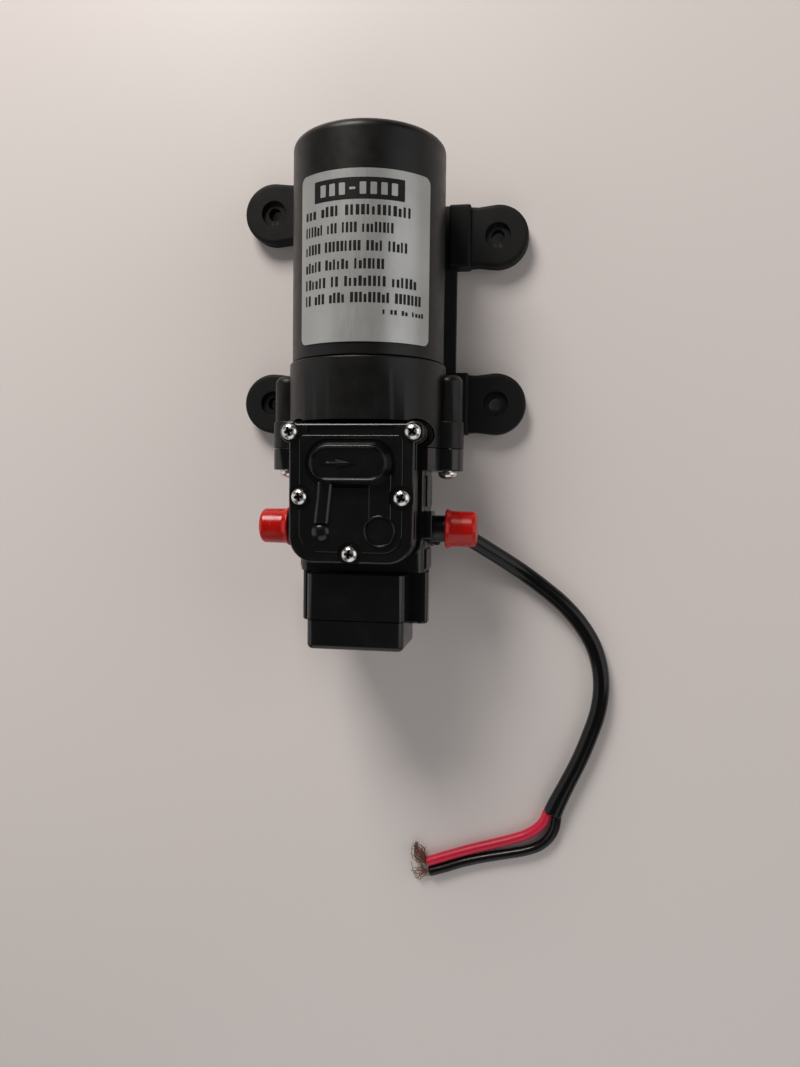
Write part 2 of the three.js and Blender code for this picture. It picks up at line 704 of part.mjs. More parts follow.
// Cross-recessed pan-head screw pointing down z, seat at its origin.
function coverScrew() {
  const shank = 14.5;
  const radius = 1.4;
  const rim = 2.65;
  const screw = turned([
    [0, -shank], [radius, -shank], [radius, 0], [rim, 0], [rim, 0.7], [1.9, 1.7], [0, 2],
  ], 14).rotateX(Math.PI / 2);
  const armLength = 1.5;
  const armHalf = 0.35;
  const cross = [0.6, 0.6 + Math.PI / 2].map((turn) => {
    return block([-armLength, -armHalf, 0.9], [armLength, armHalf, 3]).rotateZ(turn);
  });
  return carve([screw], cross);
}

place(stations, 'rocker', 'whiteAcetal', rocker());
place(stations, 'rocker_pin', 'steel', rodY(PIN_RADIUS, PIN_FROM, PIN_TO, 0, PIVOT_Z, 12));
[['left', -1], ['right', 1]].forEach(([word, side]) => {
  const x = side * CHAMBER_X;
  const seat = DIAPHRAGM_HIGH + GAP;
  place(stations, `piston_${word}`, 'whiteAcetal', piston(), x, CAM_Y, seat);
  place(stations, `piston_screw_${word}`, 'zinc', pistonScrew(), x, CAM_Y, seat + PISTON_HEIGHT + GAP);
});
place(stations, 'diaphragm', 'epdm', diaphragm());
place(stations, 'valve_plate', 'glossBlack', valvePlate());
place(stations, 'outlet_valve', 'epdm', umbrellaValve(4.8), 0, CAM_Y + OUTLET_OFFSET, VALVE_HIGH + GAP);
[['left', -1], ['right', 1]].forEach(([word, side]) => {
  const z = CHAMBER_ROOF_Z - GAP;
  const valve = place(stations, `inlet_valve_${word}`, 'epdm', umbrellaValve(1.6));
  valve.position.set(side * CHAMBER_X, CAM_Y + INLET_OFFSET, z);
  valve.rotation.x = Math.PI;
});
place(stations, 'cover_gasket', 'epdm', coverGasket());
place(stations, 'front_cover', 'glossBlack', frontCover());
COVER_SCREWS.forEach(([x, y], i) => {
  place(stations, `cover_screw_${i + 1}`, 'zinc', coverScrew(), x, y, COVER_FACE_Z + GAP);
});

// ---- pump head --------------------------------------------------------------------------
const POCKET_HALF = 14.6; // crank chamber, open at the front under the diaphragm
const POCKET_FROM = 46;
const POCKET_TO = 58;
const POCKET_FLOOR_Z = 17;
const PORT_SOCKET = 7; // depth of the bore that holds each port
const FLOW_RADIUS = 2.6;
const SLEEVE_RADIUS = 3.6; // the part of the lead's gland that sits in the head
const SENSE_RADIUS = 1.4; // pressure passage to the switch

// The head's section: upright walls that draw in towards the floor.
function headOutline() {
  const draw = HEAD_HALF - 1.4;
  const corner = 3;
  const shape = new THREE.Shape();
  shape.moveTo(-draw + 2, HEAD_FLOOR_Z);
  shape.lineTo(draw - 2, HEAD_FLOOR_Z);
  shape.lineTo(draw, HEAD_FLOOR_Z + 2);
  shape.lineTo(HEAD_HALF, HEAD_WAIST_Z);
  shape.absarc(HEAD_HALF - corner, HEAD_TOP_Z - corner, corner, 0, Math.PI / 2, false);
  shape.absarc(corner - HEAD_HALF, HEAD_TOP_Z - corner, corner, Math.PI / 2, Math.PI, false);
  shape.lineTo(-HEAD_HALF, HEAD_WAIST_Z);
  shape.lineTo(-draw, HEAD_FLOOR_Z + 2);
  return shape;
}

// A tab over each port's root that holds the port in.
function portTabs() {
  const rise = 2.2;
  return [-1, 1].map((side) => {
    const [inner, outer] = [side * (HEAD_HALF - 1), side * (HEAD_HALF + rise)];
    return block(
      [Math.min(inner, outer), PORT_Y - 3, PORT_Z + 1],
      [Math.max(inner, outer), PORT_Y + 5.8, PORT_Z + 9.5],
    );
  });
}

// The two flow bores, each a socket for the port and a narrower way in to the channel.
function portBores() {
  return [-1, 1].flatMap((side) => {
    const mouth = side * (HEAD_HALF + 3);
    const step = side * (HEAD_HALF - PORT_SOCKET);
    const end = side * (CHANNEL_X - 1.5);
    const span = (a, b) => [Math.min(a, b), Math.max(a, b)];
    return [
      rodX(PORT_RADIUS + GAP, ...span(mouth, step), PORT_Y, PORT_Z, 20),
      rodX(FLOW_RADIUS, ...span(step + side * PAST, end), PORT_Y, PORT_Z, 16),
    ];
  });
}

// The way that the lead takes from the side wall to the switch housing below.
function wireWay() {
  return [
    rodX(SLEEVE_RADIUS + GAP, 6, HEAD_HALF + PAST, LEAD_Y, LEAD_Z, 16),
    block([4, SEAM_SWITCH - PAST, HEAD_FLOOR_Z + 1.6], [12, LEAD_Y + 4, LEAD_Z + 4]),
  ];
}

function pumpHead() {
  const body = prismY(headOutline(), SEAM_SWITCH + GAP, FLANGE_LOW + 1, 4);
  const leadPad = rodX(5.4, HEAD_HALF - 4, HEAD_HALF, LEAD_Y, LEAD_Z, 20);
  const rim = stackLayer(HEAD_TOP_Z - 2, HEAD_RIM_Z, 0.9, 4.2);
  const flangeDisc = carve(
    flange(HOUSING_RADIUS, FLANGE_LOW, SEAM_HEAD).map((piece) => piece.translate(0, 0, AXIS_Z)),
    [block([-30, 20, HEAD_RIM_Z - 0.5], [30, 75, 60])],
  );
  const pocket = block(
    [-POCKET_HALF, POCKET_FROM, POCKET_FLOOR_Z],
    [POCKET_HALF, POCKET_TO, HEAD_RIM_Z + PAST],
  );
  const camBore = rodY(8.8, POCKET_TO - PAST, SEAM_HEAD + PAST, 0, AXIS_Z, 20);
  const pinHole = rodY(PIN_HOLE, PIN_FROM - GAP, PIN_TO + GAP, 0, PIVOT_Z, 10);
  const earHoles = [-EAR_X, EAR_X].map((x) => {
    return rodY(FLANGE_HOLE, FLANGE_LOW - PAST, SEAM_HEAD + PAST, x, AXIS_Z, 12);
  });
  const switchBore = rodY(SENSE_RADIUS, SEAM_SWITCH - PAST, PORT_Y, 0, SWITCH_Z, 8);
  const switchCross = rodX(1.2, 0, CHANNEL_X, PORT_Y - 0.4, SWITCH_Z, 8);
  return carve(
    [body, ...rim, flangeDisc, leadPad, ...portTabs()],
    [
      pocket, camBore, pinHole, ...portBores(), ...earHoles, ...wireWay(), switchBore, switchCross,
      ...flowChannels(PORT_Z, HEAD_RIM_Z + PAST),
      ...coverScrewHoles(HEAD_TOP_Z - 1.5, HEAD_RIM_Z + PAST),
    ],
  );
}

// ---- ports and their transport caps, drawn pointing to +x from the head's wall ------------
const PORT_INNER = -6.6;
const PORT_OUTER = 14.4;

// A spigot with two hose barbs.
function hosePort() {
  const bore = 3.1;
  const shank = PORT_RADIUS - 0.2;
  const barbRoot = PORT_RADIUS - 0.7;
  return turned([
    [bore, PORT_INNER], [shank, PORT_INNER], [shank, 7],
    [PORT_RADIUS, 7.6], [barbRoot, 10.6], [PORT_RADIUS, 10.8], [barbRoot, PORT_OUTER],
    [bore, PORT_OUTER], [bore, PORT_INNER],
  ], 20).rotateZ(-Math.PI / 2);
}

const PORT_CAP_OPEN = 5.8;
const PORT_CAP_CLOSED = CAP_TIP_X - HEAD_HALF;

function transportCap() {
  const inner = PORT_RADIUS + GAP;
  const outer = 5.8;
  const lip = 6.5;
  const edge = 1.2;
  return turned([
    [inner, PORT_CAP_OPEN], [lip, PORT_CAP_OPEN],
    [lip, PORT_CAP_OPEN + 0.9], [outer, PORT_CAP_OPEN + 1.5],
    ...arcPoints(outer - edge, PORT_CAP_CLOSED - edge, edge, 0, 90, 2),
    [0, PORT_CAP_CLOSED], [0, PORT_OUTER + GAP], [inner, PORT_OUTER + GAP], [inner, PORT_CAP_OPEN],
  ], 20).rotateZ(-Math.PI / 2);
}

place(stations, 'pump_head', 'glossBlack', pumpHead());
[['inlet', -1], ['outlet', 1]].forEach(([word, side]) => {
  const port = new THREE.Group();
  port.position.set(side * HEAD_HALF, PORT_Y, PORT_Z);
  port.rotation.z = side > 0 ? 0 : Math.PI;
  stations.add(port);
  place(port, `${word}_port`, 'satinBlack', hosePort());
  place(port, `${word}_cap`, 'redVinyl', transportCap());
});

// ---- pressure switch ------------------------------------------------------------------
const SWITCH_LOW_Z = 25.6;
const SWITCH_HIGH_Z = 48.2;
const COVER_SEAM = 9;
const REAR_HALF = 20.6;
const REAR_LOW = 6.7;
const REAR_TOP_Z = 33;
const SWITCH_WALL = 1.8;
const SEAT_LOW = 21.9; // shoulder that the switch diaphragm lies on
const SWITCH_SEAT = 7.6;
const GUIDE_TOP = 20.8;
const PLUNGER_FOOT = 14.4;
const PLUNGER_RADIUS = 3;
const SPRING_LOW = 6.4;
const SPRING_WIRE = 0.3;
const BUTTON_X = 8.6;
const BUTTON_SIZE = [1.6, 3, 2];
const BUTTON_Y = 13.2;

function switchOutline() {
  return roundedRectangle(-SWITCH_HALF, SWITCH_LOW_Z, SWITCH_HALF, SWITCH_HIGH_Z, 2);
}

// A front box round the switch and a wider block behind it for the wiring.
function switchHousing() {
  const front = prismY(switchOutline(), COVER_SEAM + GAP, SEAM_SWITCH, 4);
  const draw = REAR_HALF - 3;
  const shoulderZ = REAR_TOP_Z - 4;
  const rearOutline = new THREE.Shape([
    [-draw, HEAD_FLOOR_Z], [draw, HEAD_FLOOR_Z], [REAR_HALF, shoulderZ], [REAR_HALF, REAR_TOP_Z - 1],
    [REAR_HALF - 1, REAR_TOP_Z], [1 - REAR_HALF, REAR_TOP_Z], [-REAR_HALF, REAR_TOP_Z - 1],
    [-REAR_HALF, shoulderZ],
  ].map(([x, z]) => new THREE.Vector2(x, z)));
  const rear = prismY(rearOutline, REAR_LOW, SEAM_SWITCH, 4);
  const inner = SWITCH_HALF - SWITCH_WALL;
  const well = block(
    [-inner, REAR_LOW - PAST, SWITCH_LOW_Z + SWITCH_WALL],
    [inner, SEAM_SWITCH - 6, SWITCH_HIGH_Z - SWITCH_WALL],
  );
  const seat = rodY(SWITCH_SEAT, SEAT_LOW, SEAM_SWITCH + PAST, 0, SWITCH_Z, 28);
  const relief = rodY(5.5, GUIDE_TOP, SEAM_SWITCH, 0, SWITCH_Z, 24);
  const guide = rodY(PLUNGER_RADIUS + 0.4, SEAM_SWITCH - 7, SEAM_SWITCH, 0, SWITCH_Z, 20);
  const wiringFrom = REAR_LOW + 3;
  const wiring = block([-15.4, wiringFrom, 11], [15.4, SEAM_SWITCH + PAST, 23]);
  const passage = block([4, wiringFrom, 22], [12, SEAM_SWITCH - 7, SWITCH_LOW_Z + 4]);
  return carve([front, rear], [well, seat, relief, guide, wiring, passage]);
}

function switchCover() {
  const inner = SWITCH_HALF - SWITCH_WALL;
  const hollow = block(
    [-inner, SWITCH_WALL, SWITCH_LOW_Z + SWITCH_WALL],
    [inner, COVER_SEAM + PAST, SWITCH_HIGH_Z - SWITCH_WALL],
  );
  const step = block([-REAR_HALF, REAR_LOW - GAP, 0], [REAR_HALF, COVER_SEAM + PAST, REAR_TOP_Z + GAP]);
  const screwHole = rodY(3.2, -PAST, SWITCH_WALL + PAST, 0, SWITCH_Z, 20);
  return carve([prismY(switchOutline(), 0, COVER_SEAM, 4)], [hollow, step, screwHole]);
}

// Plunger: a head under the switch diaphragm, a stem in the spring, and an arm
// that reaches over the microswitch button.
function switchPlunger() {
  const top = SEAT_LOW - 0.2;
  const stem = 1.2;
  const stemLow = 9.6;
  const post = turned([
    [0, stemLow], [stem, stemLow], [stem, PLUNGER_FOOT],
    [PLUNGER_RADIUS, PLUNGER_FOOT], [PLUNGER_RADIUS, top], [0, top],
  ], 14);
  const armHalf = 1.2;
  const arm = block(
    [1.7, PLUNGER_FOOT + 0.6, -armHalf],
    [BUTTON_X + armHalf, PLUNGER_FOOT + 2.2, armHalf],
  );
  return carve([post, arm]);
}

class Helix extends THREE.Curve {
  constructor(radius, height, turns) {
    super();
    this.radius = radius;
    this.height = height;
    this.turns = turns;
  }

  getPoint(t, target = new THREE.Vector3()) {
    const angle = t * this.turns * 2 * Math.PI;
    return target.set(this.radius * Math.cos(angle), this.height * t, this.radius * Math.sin(angle));
  }
}

function roundSection(radius, sides) {
  return new THREE.Shape(Array.from({ length: sides }, (_, i) => {
    const angle = (i * 2 * Math.PI) / sides;
    return new THREE.Vector2(radius * Math.cos(angle), radius * Math.sin(angle));
  }));
}

function switchSpring() {
  return new THREE.ExtrudeGeometry(roundSection(SPRING_WIRE, 6), {
    extrudePath: new Helix(2.1, PLUNGER_FOOT - SPRING_LOW - 2 * SPRING_WIRE, 4.5),
    steps: 36,
    bevelEnabled: false,
  });
}

// Hexagon-socket screw that sets the cut-off pressure.
function adjustingScrew() {
  const radius = 2.8;
  const spigot = 1.2;
  const body = turned([
    [0, 0.6], [radius, 0.6], [radius, 5.8], [spigot, 5.8], [spigot, 7.4], [0, 7.4],
  ], 16);
  return carve([body], [rodY(1.2, -PAST, 3.2, 0, 0, 6)]);
}

function microswitch() {
  const body = block([5.6, 4.4, SWITCH_LOW_Z + 3 - SWITCH_Z], [12.8, 13.4, 7]);
  const wellHalf = BUTTON_SIZE.map((size) => size / 2 + GAP);
  const buttonWell = block(
    [BUTTON_X - wellHalf[0], 10.6, -wellHalf[2]],
    [BUTTON_X + wellHalf[0], 14, wellHalf[2]],
  );
  return carve([body], [buttonWell]);
}

const pressureSwitch = new THREE.Group();
pressureSwitch.position.z = SWITCH_Z;
stations.add(pressureSwitch);
place(stations, 'switch_housing', 'glossBlack', switchHousing());
place(stations, 'switch_cover', 'glossBlack', switchCover());
place(pressureSwitch, 'switch_diaphragm', 'epdm', rodY(7.2, SEAT_LOW + 0.2, SEAM_SWITCH - 0.2));
place(pressureSwitch, 'switch_plunger', 'whiteAcetal', switchPlunger());
place(pressureSwitch, 'switch_spring', 'steel', switchSpring(), 0, SPRING_LOW, 0);
place(pressureSwitch, 'adjusting_screw', 'zinc', adjustingScrew());
place(pressureSwitch, 'microswitch', 'satinBlack', microswitch());
place(pressureSwitch, 'microswitch_button', 'redVinyl',
  new THREE.BoxGeometry(...BUTTON_SIZE), BUTTON_X, BUTTON_Y, 0);

// ---- lead: a two-core cable that runs down to the floor and lies on it ------------------
const lead = new THREE.Group();
pump.add(lead);
const LEAD_EXIT_Y = LEAD_Y - LENGTH / 2;
const FLOOR_LEAD_Z = LEAD_RADIUS + 0.2;
const FLOOR_WIRE_Z = WIRE_RADIUS + 0.1;
const CABLE_ROUTE = [
  [17.5, LEAD_EXIT_Y, LEAD_Z],
  [21, LEAD_EXIT_Y, LEAD_Z],
  [25, -44.9, 13.2],
  [28.8, -45.9, 12.5],
  [32.3, -47.4, 11.3],
  [35.4, -49.3, 9.7],
  [38.5, -51.3, 8.1],
  [41.6, -53.3, 6.5],
  [44.8, -55.4, 5],
  [48.1, -57.6, 3.8],
  [51.6, -60, 3.1],
  [57.6, -64.4, FLOOR_LEAD_Z],
  [64.2, -69.8, FLOOR_LEAD_Z],
  [70.2, -76.4, FLOOR_LEAD_Z],
  [74.8, -83.9, FLOOR_LEAD_Z],
  [77.2, -91.6, FLOOR_LEAD_Z],
  [77.8, -99.3, FLOOR_LEAD_Z],
  [76.8, -107.3, FLOOR_LEAD_Z],
  [74.3, -115.5, FLOOR_LEAD_Z],
  [70.9, -124.5, FLOOR_LEAD_Z],
  [66.8, -133.4, FLOOR_LEAD_Z],
  [63.6, -140.4, FLOOR_LEAD_Z],
  [62.2, -143.9, FLOOR_LEAD_Z],
];
const RED_ROUTE = [
  [60.5, -144.1],
  [59, -147.8],
  [54.8, -151.8],
  [49.2, -154.4],
  [42.2, -156.8],
  [33.3, -159.7],
  [24.3, -163],
  [18.1, -165.4],
];
const BLACK_ROUTE = [
  [63.7, -145.2],
  [63, -149.8],
  [60.8, -153.8],
  [57.4, -156.7],
  [52.8, -158.6],
  [47.6, -160],
  [40.5, -161.7],
  [31.5, -164.3],
  [24.3, -167.1],
  [18.9, -169],
];

function cord(route, radius, steps) {
  const points = route.map(([x, y, z = FLOOR_WIRE_Z]) => new THREE.Vector3(x, y, z));
  return new THREE.ExtrudeGeometry(roundSection(radius, 8), {
    extrudePath: new THREE.CatmullRomCurve3(points, false, 'centripetal'),
    steps,
    bevelEnabled: false,
  });
}

// Rubber sleeve in the head's side wall, drawn pointing to +x.
function cableGland() {
  const bore = LEAD_RADIUS + 0.45;
  const inner = -3;
  const outer = 2.4;
  return turned([
    [bore, inner], [SLEEVE_RADIUS, inner], [SLEEVE_RADIUS, GAP], [5, GAP], [4.8, 1.7], [4, outer],
    [bore, outer], [bore, inner],
  ], 16).rotateZ(-Math.PI / 2);
}

// Bare copper fanned out beyond the insulation, drawn pointing to +x.
const STRAND_REACH = 7;
const STRAND_HALF_HEIGHT = 0.8;
function strands(reach, halfWidth) {
  const root = 0.9;
  const start = 1;
  const fan = new THREE.Shape();
  fan.moveTo(start, -root);
  fan.lineTo(reach, -halfWidth);
  fan.lineTo(reach + 0.8, 0);
  fan.lineTo(reach, halfWidth);
  fan.lineTo(start, root);
  return prismZ(fan, FLOOR_WIRE_Z - STRAND_HALF_HEIGHT, FLOOR_WIRE_Z + STRAND_HALF_HEIGHT);
}

function placeStrands(name, route, angle, halfWidth) {
  const [x, y] = route.at(-1);
  const mesh = place(lead, name, 'copper', strands(STRAND_REACH, halfWidth), x, y, 0);
  mesh.rotation.z = THREE.MathUtils.degToRad(angle);
}

place(lead, 'cable_gland', 'rubberBlack', cableGland(), HEAD_HALF, LEAD_EXIT_Y, LEAD_Z);
place(lead, 'power_cable', 'blackPvc', cord(CABLE_ROUTE, LEAD_RADIUS, 28));
place(lead, 'red_wire', 'redPvc', cord(RED_ROUTE, WIRE_RADIUS, 14));
place(lead, 'black_wire', 'blackPvc', cord(BLACK_ROUTE, WIRE_RADIUS, 14));
placeStrands('red_wire_strands', RED_ROUTE, 168, 2.6);
placeStrands('black_wire_strands', BLACK_ROUTE, 180, 2.1);

export default pump;
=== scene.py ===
# A 12 V diaphragm water pump with its two-core lead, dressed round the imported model.
# Everything lives in the row frame. Shapes are drawn in millimetres and placed from the
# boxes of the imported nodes; routes of the lead are in metres.
import json
import math
import random

import bmesh
import bpy
from mathutils import Matrix, Vector

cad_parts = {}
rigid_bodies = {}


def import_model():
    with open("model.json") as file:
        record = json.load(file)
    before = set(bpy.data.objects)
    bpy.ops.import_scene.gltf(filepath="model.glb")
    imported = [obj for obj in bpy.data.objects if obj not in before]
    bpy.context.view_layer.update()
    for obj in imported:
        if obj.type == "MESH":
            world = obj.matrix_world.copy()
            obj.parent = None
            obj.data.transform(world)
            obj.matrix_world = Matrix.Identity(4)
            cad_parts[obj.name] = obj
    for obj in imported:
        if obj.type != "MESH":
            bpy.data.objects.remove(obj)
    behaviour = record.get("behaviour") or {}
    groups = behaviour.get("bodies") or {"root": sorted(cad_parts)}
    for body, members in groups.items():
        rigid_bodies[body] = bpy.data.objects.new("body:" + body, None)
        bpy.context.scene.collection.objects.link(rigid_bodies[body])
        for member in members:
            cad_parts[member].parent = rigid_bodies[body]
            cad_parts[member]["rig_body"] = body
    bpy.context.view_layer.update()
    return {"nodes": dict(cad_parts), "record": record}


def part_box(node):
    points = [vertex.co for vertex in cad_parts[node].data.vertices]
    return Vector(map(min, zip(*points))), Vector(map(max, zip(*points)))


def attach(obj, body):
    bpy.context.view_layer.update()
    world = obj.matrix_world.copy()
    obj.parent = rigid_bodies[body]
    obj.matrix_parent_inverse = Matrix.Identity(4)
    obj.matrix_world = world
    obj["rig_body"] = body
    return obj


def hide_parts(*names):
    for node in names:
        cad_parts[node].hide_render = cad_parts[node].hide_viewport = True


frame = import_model()

MM = 0.001
AXES = {
    "x": lambda u, v, w: (w, u, v),
    "y": lambda u, v, w: (u, w, v),
    "z": lambda u, v, w: (u, v, w),
}


def span(node):
    """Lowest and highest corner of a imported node, in millimetres."""
    low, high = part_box(node)
    return low / MM, high / MM


def middle(node):
    low, high = span(node)
    return (low + high) / 2


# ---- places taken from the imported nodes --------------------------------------
CAN_LOW, CAN_HIGH = span("motor_can")
LABEL_LOW, LABEL_HIGH = span("rating_label")
HOUSING_LOW, HOUSING_HIGH = span("drive_housing")
HEAD_LOW, HEAD_HIGH = span("pump_head")
COVER_LOW, COVER_HIGH = span("front_cover")
VALVE_LOW, VALVE_HIGH = span("valve_plate")
SWITCH_LOW, SWITCH_HIGH = span("switch_housing")
LID_LOW, LID_HIGH = span("switch_cover")
BRACKET_LOW, BRACKET_HIGH = span("base_bracket")
AXIS_Z = (CAN_LOW.z + CAN_HIGH.z) / 2
CAN_RADIUS = CAN_HIGH.x
HOUSING_RADIUS = (HOUSING_HIGH.z - HOUSING_LOW.z) / 2

# ---- sizes of the shapes, in millimetres ----------------------------------------
LUG_RADIUS = 3.3
COVER_CORNER = 8.0
COVER_THICKNESS = 4.0
COVER_HALF = COVER_HIGH.x - 2.9
LUG_X = COVER_HIGH.x - LUG_RADIUS
LUG_Y = COVER_HIGH.y - LUG_RADIUS
COVER_TOP_Y = LUG_Y + 2.6
COVER_FACE_Z = COVER_LOW.z + COVER_THICKNESS
EAR_RADIUS = 5.0
EAR_X = HOUSING_HIGH.x - EAR_RADIUS
HIGH_UP = 60.0  # above everything, for cutters that open upwards
SCREW_BORE = 1.9


# ---- camera -----------------------------------------------------------------------
def make_camera():
    """Looks down on the pump's front from over its right-hand side."""
    camera = bpy.data.objects.new("camera", bpy.data.cameras.new("camera"))
    bpy.context.scene.collection.objects.link(camera)
    turn = Matrix.Rotation(math.radians(9.22), 4, "Y")
    tip = Matrix.Rotation(math.radians(-2.95), 4, "X")
    roll = Matrix.Rotation(math.radians(0.69), 4, "Z")
    place = Matrix.Translation((0.05464, -0.0310, 0.29873))
    camera.matrix_world = place @ turn @ tip @ roll
    camera.data.sensor_width = 36
    camera.data.lens = 28.4
    camera.data.clip_start = 0.01
    camera.data.clip_end = 10
    bpy.context.scene.camera = camera


make_camera()


# ---- mesh helpers ---------------------------------------------------------------------
def link(name, mesh):
    obj = bpy.data.objects.new(name, mesh)
    bpy.context.scene.collection.objects.link(obj)
    return obj


def from_bmesh(bm, name="part"):
    """A mesh object from a bmesh drawn in millimetres, faces turned outwards."""
    bmesh.ops.scale(bm, vec=(MM, MM, MM), verts=bm.verts)
    bmesh.ops.recalc_face_normals(bm, faces=bm.faces)
    mesh = bpy.data.meshes.new(name)
    bm.to_mesh(mesh)
    bm.free()
    return link(name, mesh)


def arc(cx, cy, radius, start, end, steps=8):
    """Points of an arc, angles in degrees."""
    turns = [math.radians(start + (end - start) * i / steps) for i in range(steps + 1)]
    return [(cx + radius * math.cos(t), cy + radius * math.sin(t)) for t in turns]


def rounded(x0, y0, x1, y1, low_radius, high_radius=None):
    """Outline of a rounded rectangle as a function of how far it is drawn in."""
    high_radius = low_radius if high_radius is None else high_radius

    def outline(inset):
        low = max(low_radius - inset, 0.02)
        high = max(high_radius - inset, 0.02)
        left, right = x0 + inset, x1 - inset
        bottom, top = y0 + inset, y1 - inset
        return (
            arc(left + low, bottom + low, low, 180, 270)
            + arc(right - low, bottom + low, low, 270, 360)
            + arc(right - high, top - high, high, 0, 90)
            + arc(left + high, top - high, high, 90, 180)
        )

    return outline


def capsule(x0, y0, x1, y1, radius, steps=16):
    """Outline of a slot with round ends between two points."""
    along = math.degrees(math.atan2(y1 - y0, x1 - x0))

    def outline(inset):
        r = radius - inset
        return arc(x1, y1, r, along - 90, along + 90, steps) + arc(
            x0, y0, r, along + 90, along + 270, steps
        )

    return outline


def disc(cx, cy, radius, steps=48):
    """Outline of a circle."""
    return lambda inset: arc(cx, cy, radius - inset, 0, 360, steps)[:-1]


def loft(rings):
    """Closed skin over rings of the same number of points."""
    bm = bmesh.new()
    loops = [[bm.verts.new(point) for point in ring] for ring in rings]
    count = len(rings[0])
    for low, high in zip(loops, loops[1:]):
        for i in range(count):
            j = (i + 1) % count
            bm.faces.new((low[i], low[j], high[j], high[i]))
    bm.faces.new(loops[0])
    bm.faces.new(loops[-1])
    return from_bmesh(bm)


def end_rounds(low, high, round_low, round_high, steps=4):
    """Pairs of inset and height that round both ends of a prism."""
    turns = [math.radians(90 * i / steps) for i in range(steps + 1)]
    pairs = [(0, low)]
    if round_low:
        pairs = [(round_low * (1 - math.sin(t)), low + round_low * (1 - math.cos(t))) for t in turns]
    top = [(0, high)]
    if round_high:
        top = [(round_high * (1 - math.cos(t)), high - round_high * (1 - math.sin(t))) for t in turns]
    return pairs + top


def prism(outline, axis, low, high, round_low=0.0, round_high=0.0, flat=0.0):
    """An outline given length along an axis, its ends rounded.
    flat is the width of a level border inside the rounding of the high end."""
    pairs = end_rounds(low, high, round_low, round_high)
    if flat:
        pairs.append((round_high + flat, high))
    return loft([[AXES[axis](u, v, w) for u, v in outline(inset)] for inset, w in pairs])


def block(low, high, axis="z", edge=0.0):
    """A box between two corners, its upright edges rounded a little."""
    order = {"x": (1, 2, 0), "y": (0, 2, 1), "z": (0, 1, 2)}[axis]
    u, v, w = order
    outline = rounded(low[u], low[v], high[u], high[v], edge or 0.02)
    return prism(outline, axis, low[w], high[w])


def lathe(profile, axis, centre=(0, 0, 0), sides=96):
    """Turns [radius, height] pairs about a line along an axis through centre.
    A profile that starts and ends at radius 0 is a solid; any other is a closed ring."""
    bm = bmesh.new()
    solid = profile[0][0] == 0
    loops = []
    for radius, height in profile:
        if radius == 0:
            loops.append([bm.verts.new(AXES[axis](0, 0, height))])
            continue
        turns = [2 * math.pi * i / sides for i in range(sides)]
        loops.append(
            [bm.verts.new(AXES[axis](radius * math.cos(t), radius * math.sin(t), height)) for t in turns]
        )
    if not solid:
        loops.append(loops[0])
    for low, high in zip(loops, loops[1:]):
        for i in range(sides):
            j = (i + 1) % sides
            corners = [low[i % len(low)], low[j % len(low)], high[j % len(high)], high[i % len(high)]]
            corners = list(dict.fromkeys(corners))
            bm.faces.new(corners)
    bmesh.ops.translate(bm, vec=centre, verts=bm.verts)
    return from_bmesh(bm)


def rod(radius, low, high):
    """Profile of a plain round bar for a lathe."""
    return [(0, low), (radius, low), (radius, high), (0, high)]


def tube(path, sections, sides=20):
    """A solid along points in metres; sections gives (width, height) in metres at each point."""
    bm = bmesh.new()
    loops = []
    up = Vector((0, 0, 1))
    for i, point in enumerate(path):
        ahead = path[min(i + 1, len(path) - 1)] - path[max(i - 1, 0)]
        side = ahead.cross(up).normalized()
        lift = side.cross(ahead).normalized()
        width, height = sections[i]
        ring = []
        for k in range(sides):
            turn = 2 * math.pi * k / sides
            offset = side * (width / 2 * math.cos(turn)) + lift * (height / 2 * math.sin(turn))
            ring.append(bm.verts.new((point + offset) / MM))
        loops.append(ring)
    for low, high in zip(loops, loops[1:]):
        for k in range(sides):
            j = (k + 1) % sides
            bm.faces.new((low[k], low[j], high[j], high[k]))
    bm.faces.new(loops[0])
    bm.faces.new(loops[-1])
    return from_bmesh(bm)


def settle(obj):
    """Applies an object's modifiers."""
    graph = bpy.context.evaluated_depsgraph_get()
    mesh = bpy.data.meshes.new_from_object(
        obj.evaluated_get(graph), preserve_all_data_layers=True, depsgraph=graph
    )
    obj.modifiers.clear()
    obj.data = mesh
    return obj


def boolean(obj, others, operation):
    for other in others:
        modifier = obj.modifiers.new("boolean", "BOOLEAN")
        modifier.operation = operation
        modifier.solver = "EXACT"
        modifier.object = other
    settle(obj)
    for other in others:
        bpy.data.objects.remove(other)
    return obj


def joined(obj, *others):
    return boolean(obj, others, "UNION")


def cut(obj, *others):
    return boolean(obj, others, "DIFFERENCE")


def merged(name, objs):
    """Separate shells made one object."""
    bm = bmesh.new()
    for obj in objs:
        bm.from_mesh(obj.data)
        bpy.data.objects.remove(obj)
    mesh = bpy.data.meshes.new(name)
    bm.to_mesh(mesh)
    bm.free()
    return link(name, mesh)


def bevelled(obj, width, segments=2, angle=32):
    """Rounds every edge sharper than angle, in degrees, by width in millimetres."""
    modifier = obj.modifiers.new("bevel", "BEVEL")
    modifier.width = width * MM
    modifier.segments = segments
    modifier.limit_method = "ANGLE"
    modifier.angle_limit = math.radians(angle)
    modifier.use_clamp_overlap = True
    modifier.miter_outer = "MITER_ARC"
    return settle(obj)


def smoothed(obj, angle=38):
    """Smooth shading that keeps flat faces flat."""
    obj.data.shade_smooth()
    obj.data.set_sharp_from_angle(angle=math.radians(angle))
    modifier = obj.modifiers.new("normals", "WEIGHTED_NORMAL")
    modifier.keep_sharp = True
    modifier.weight = 80
    return settle(obj)


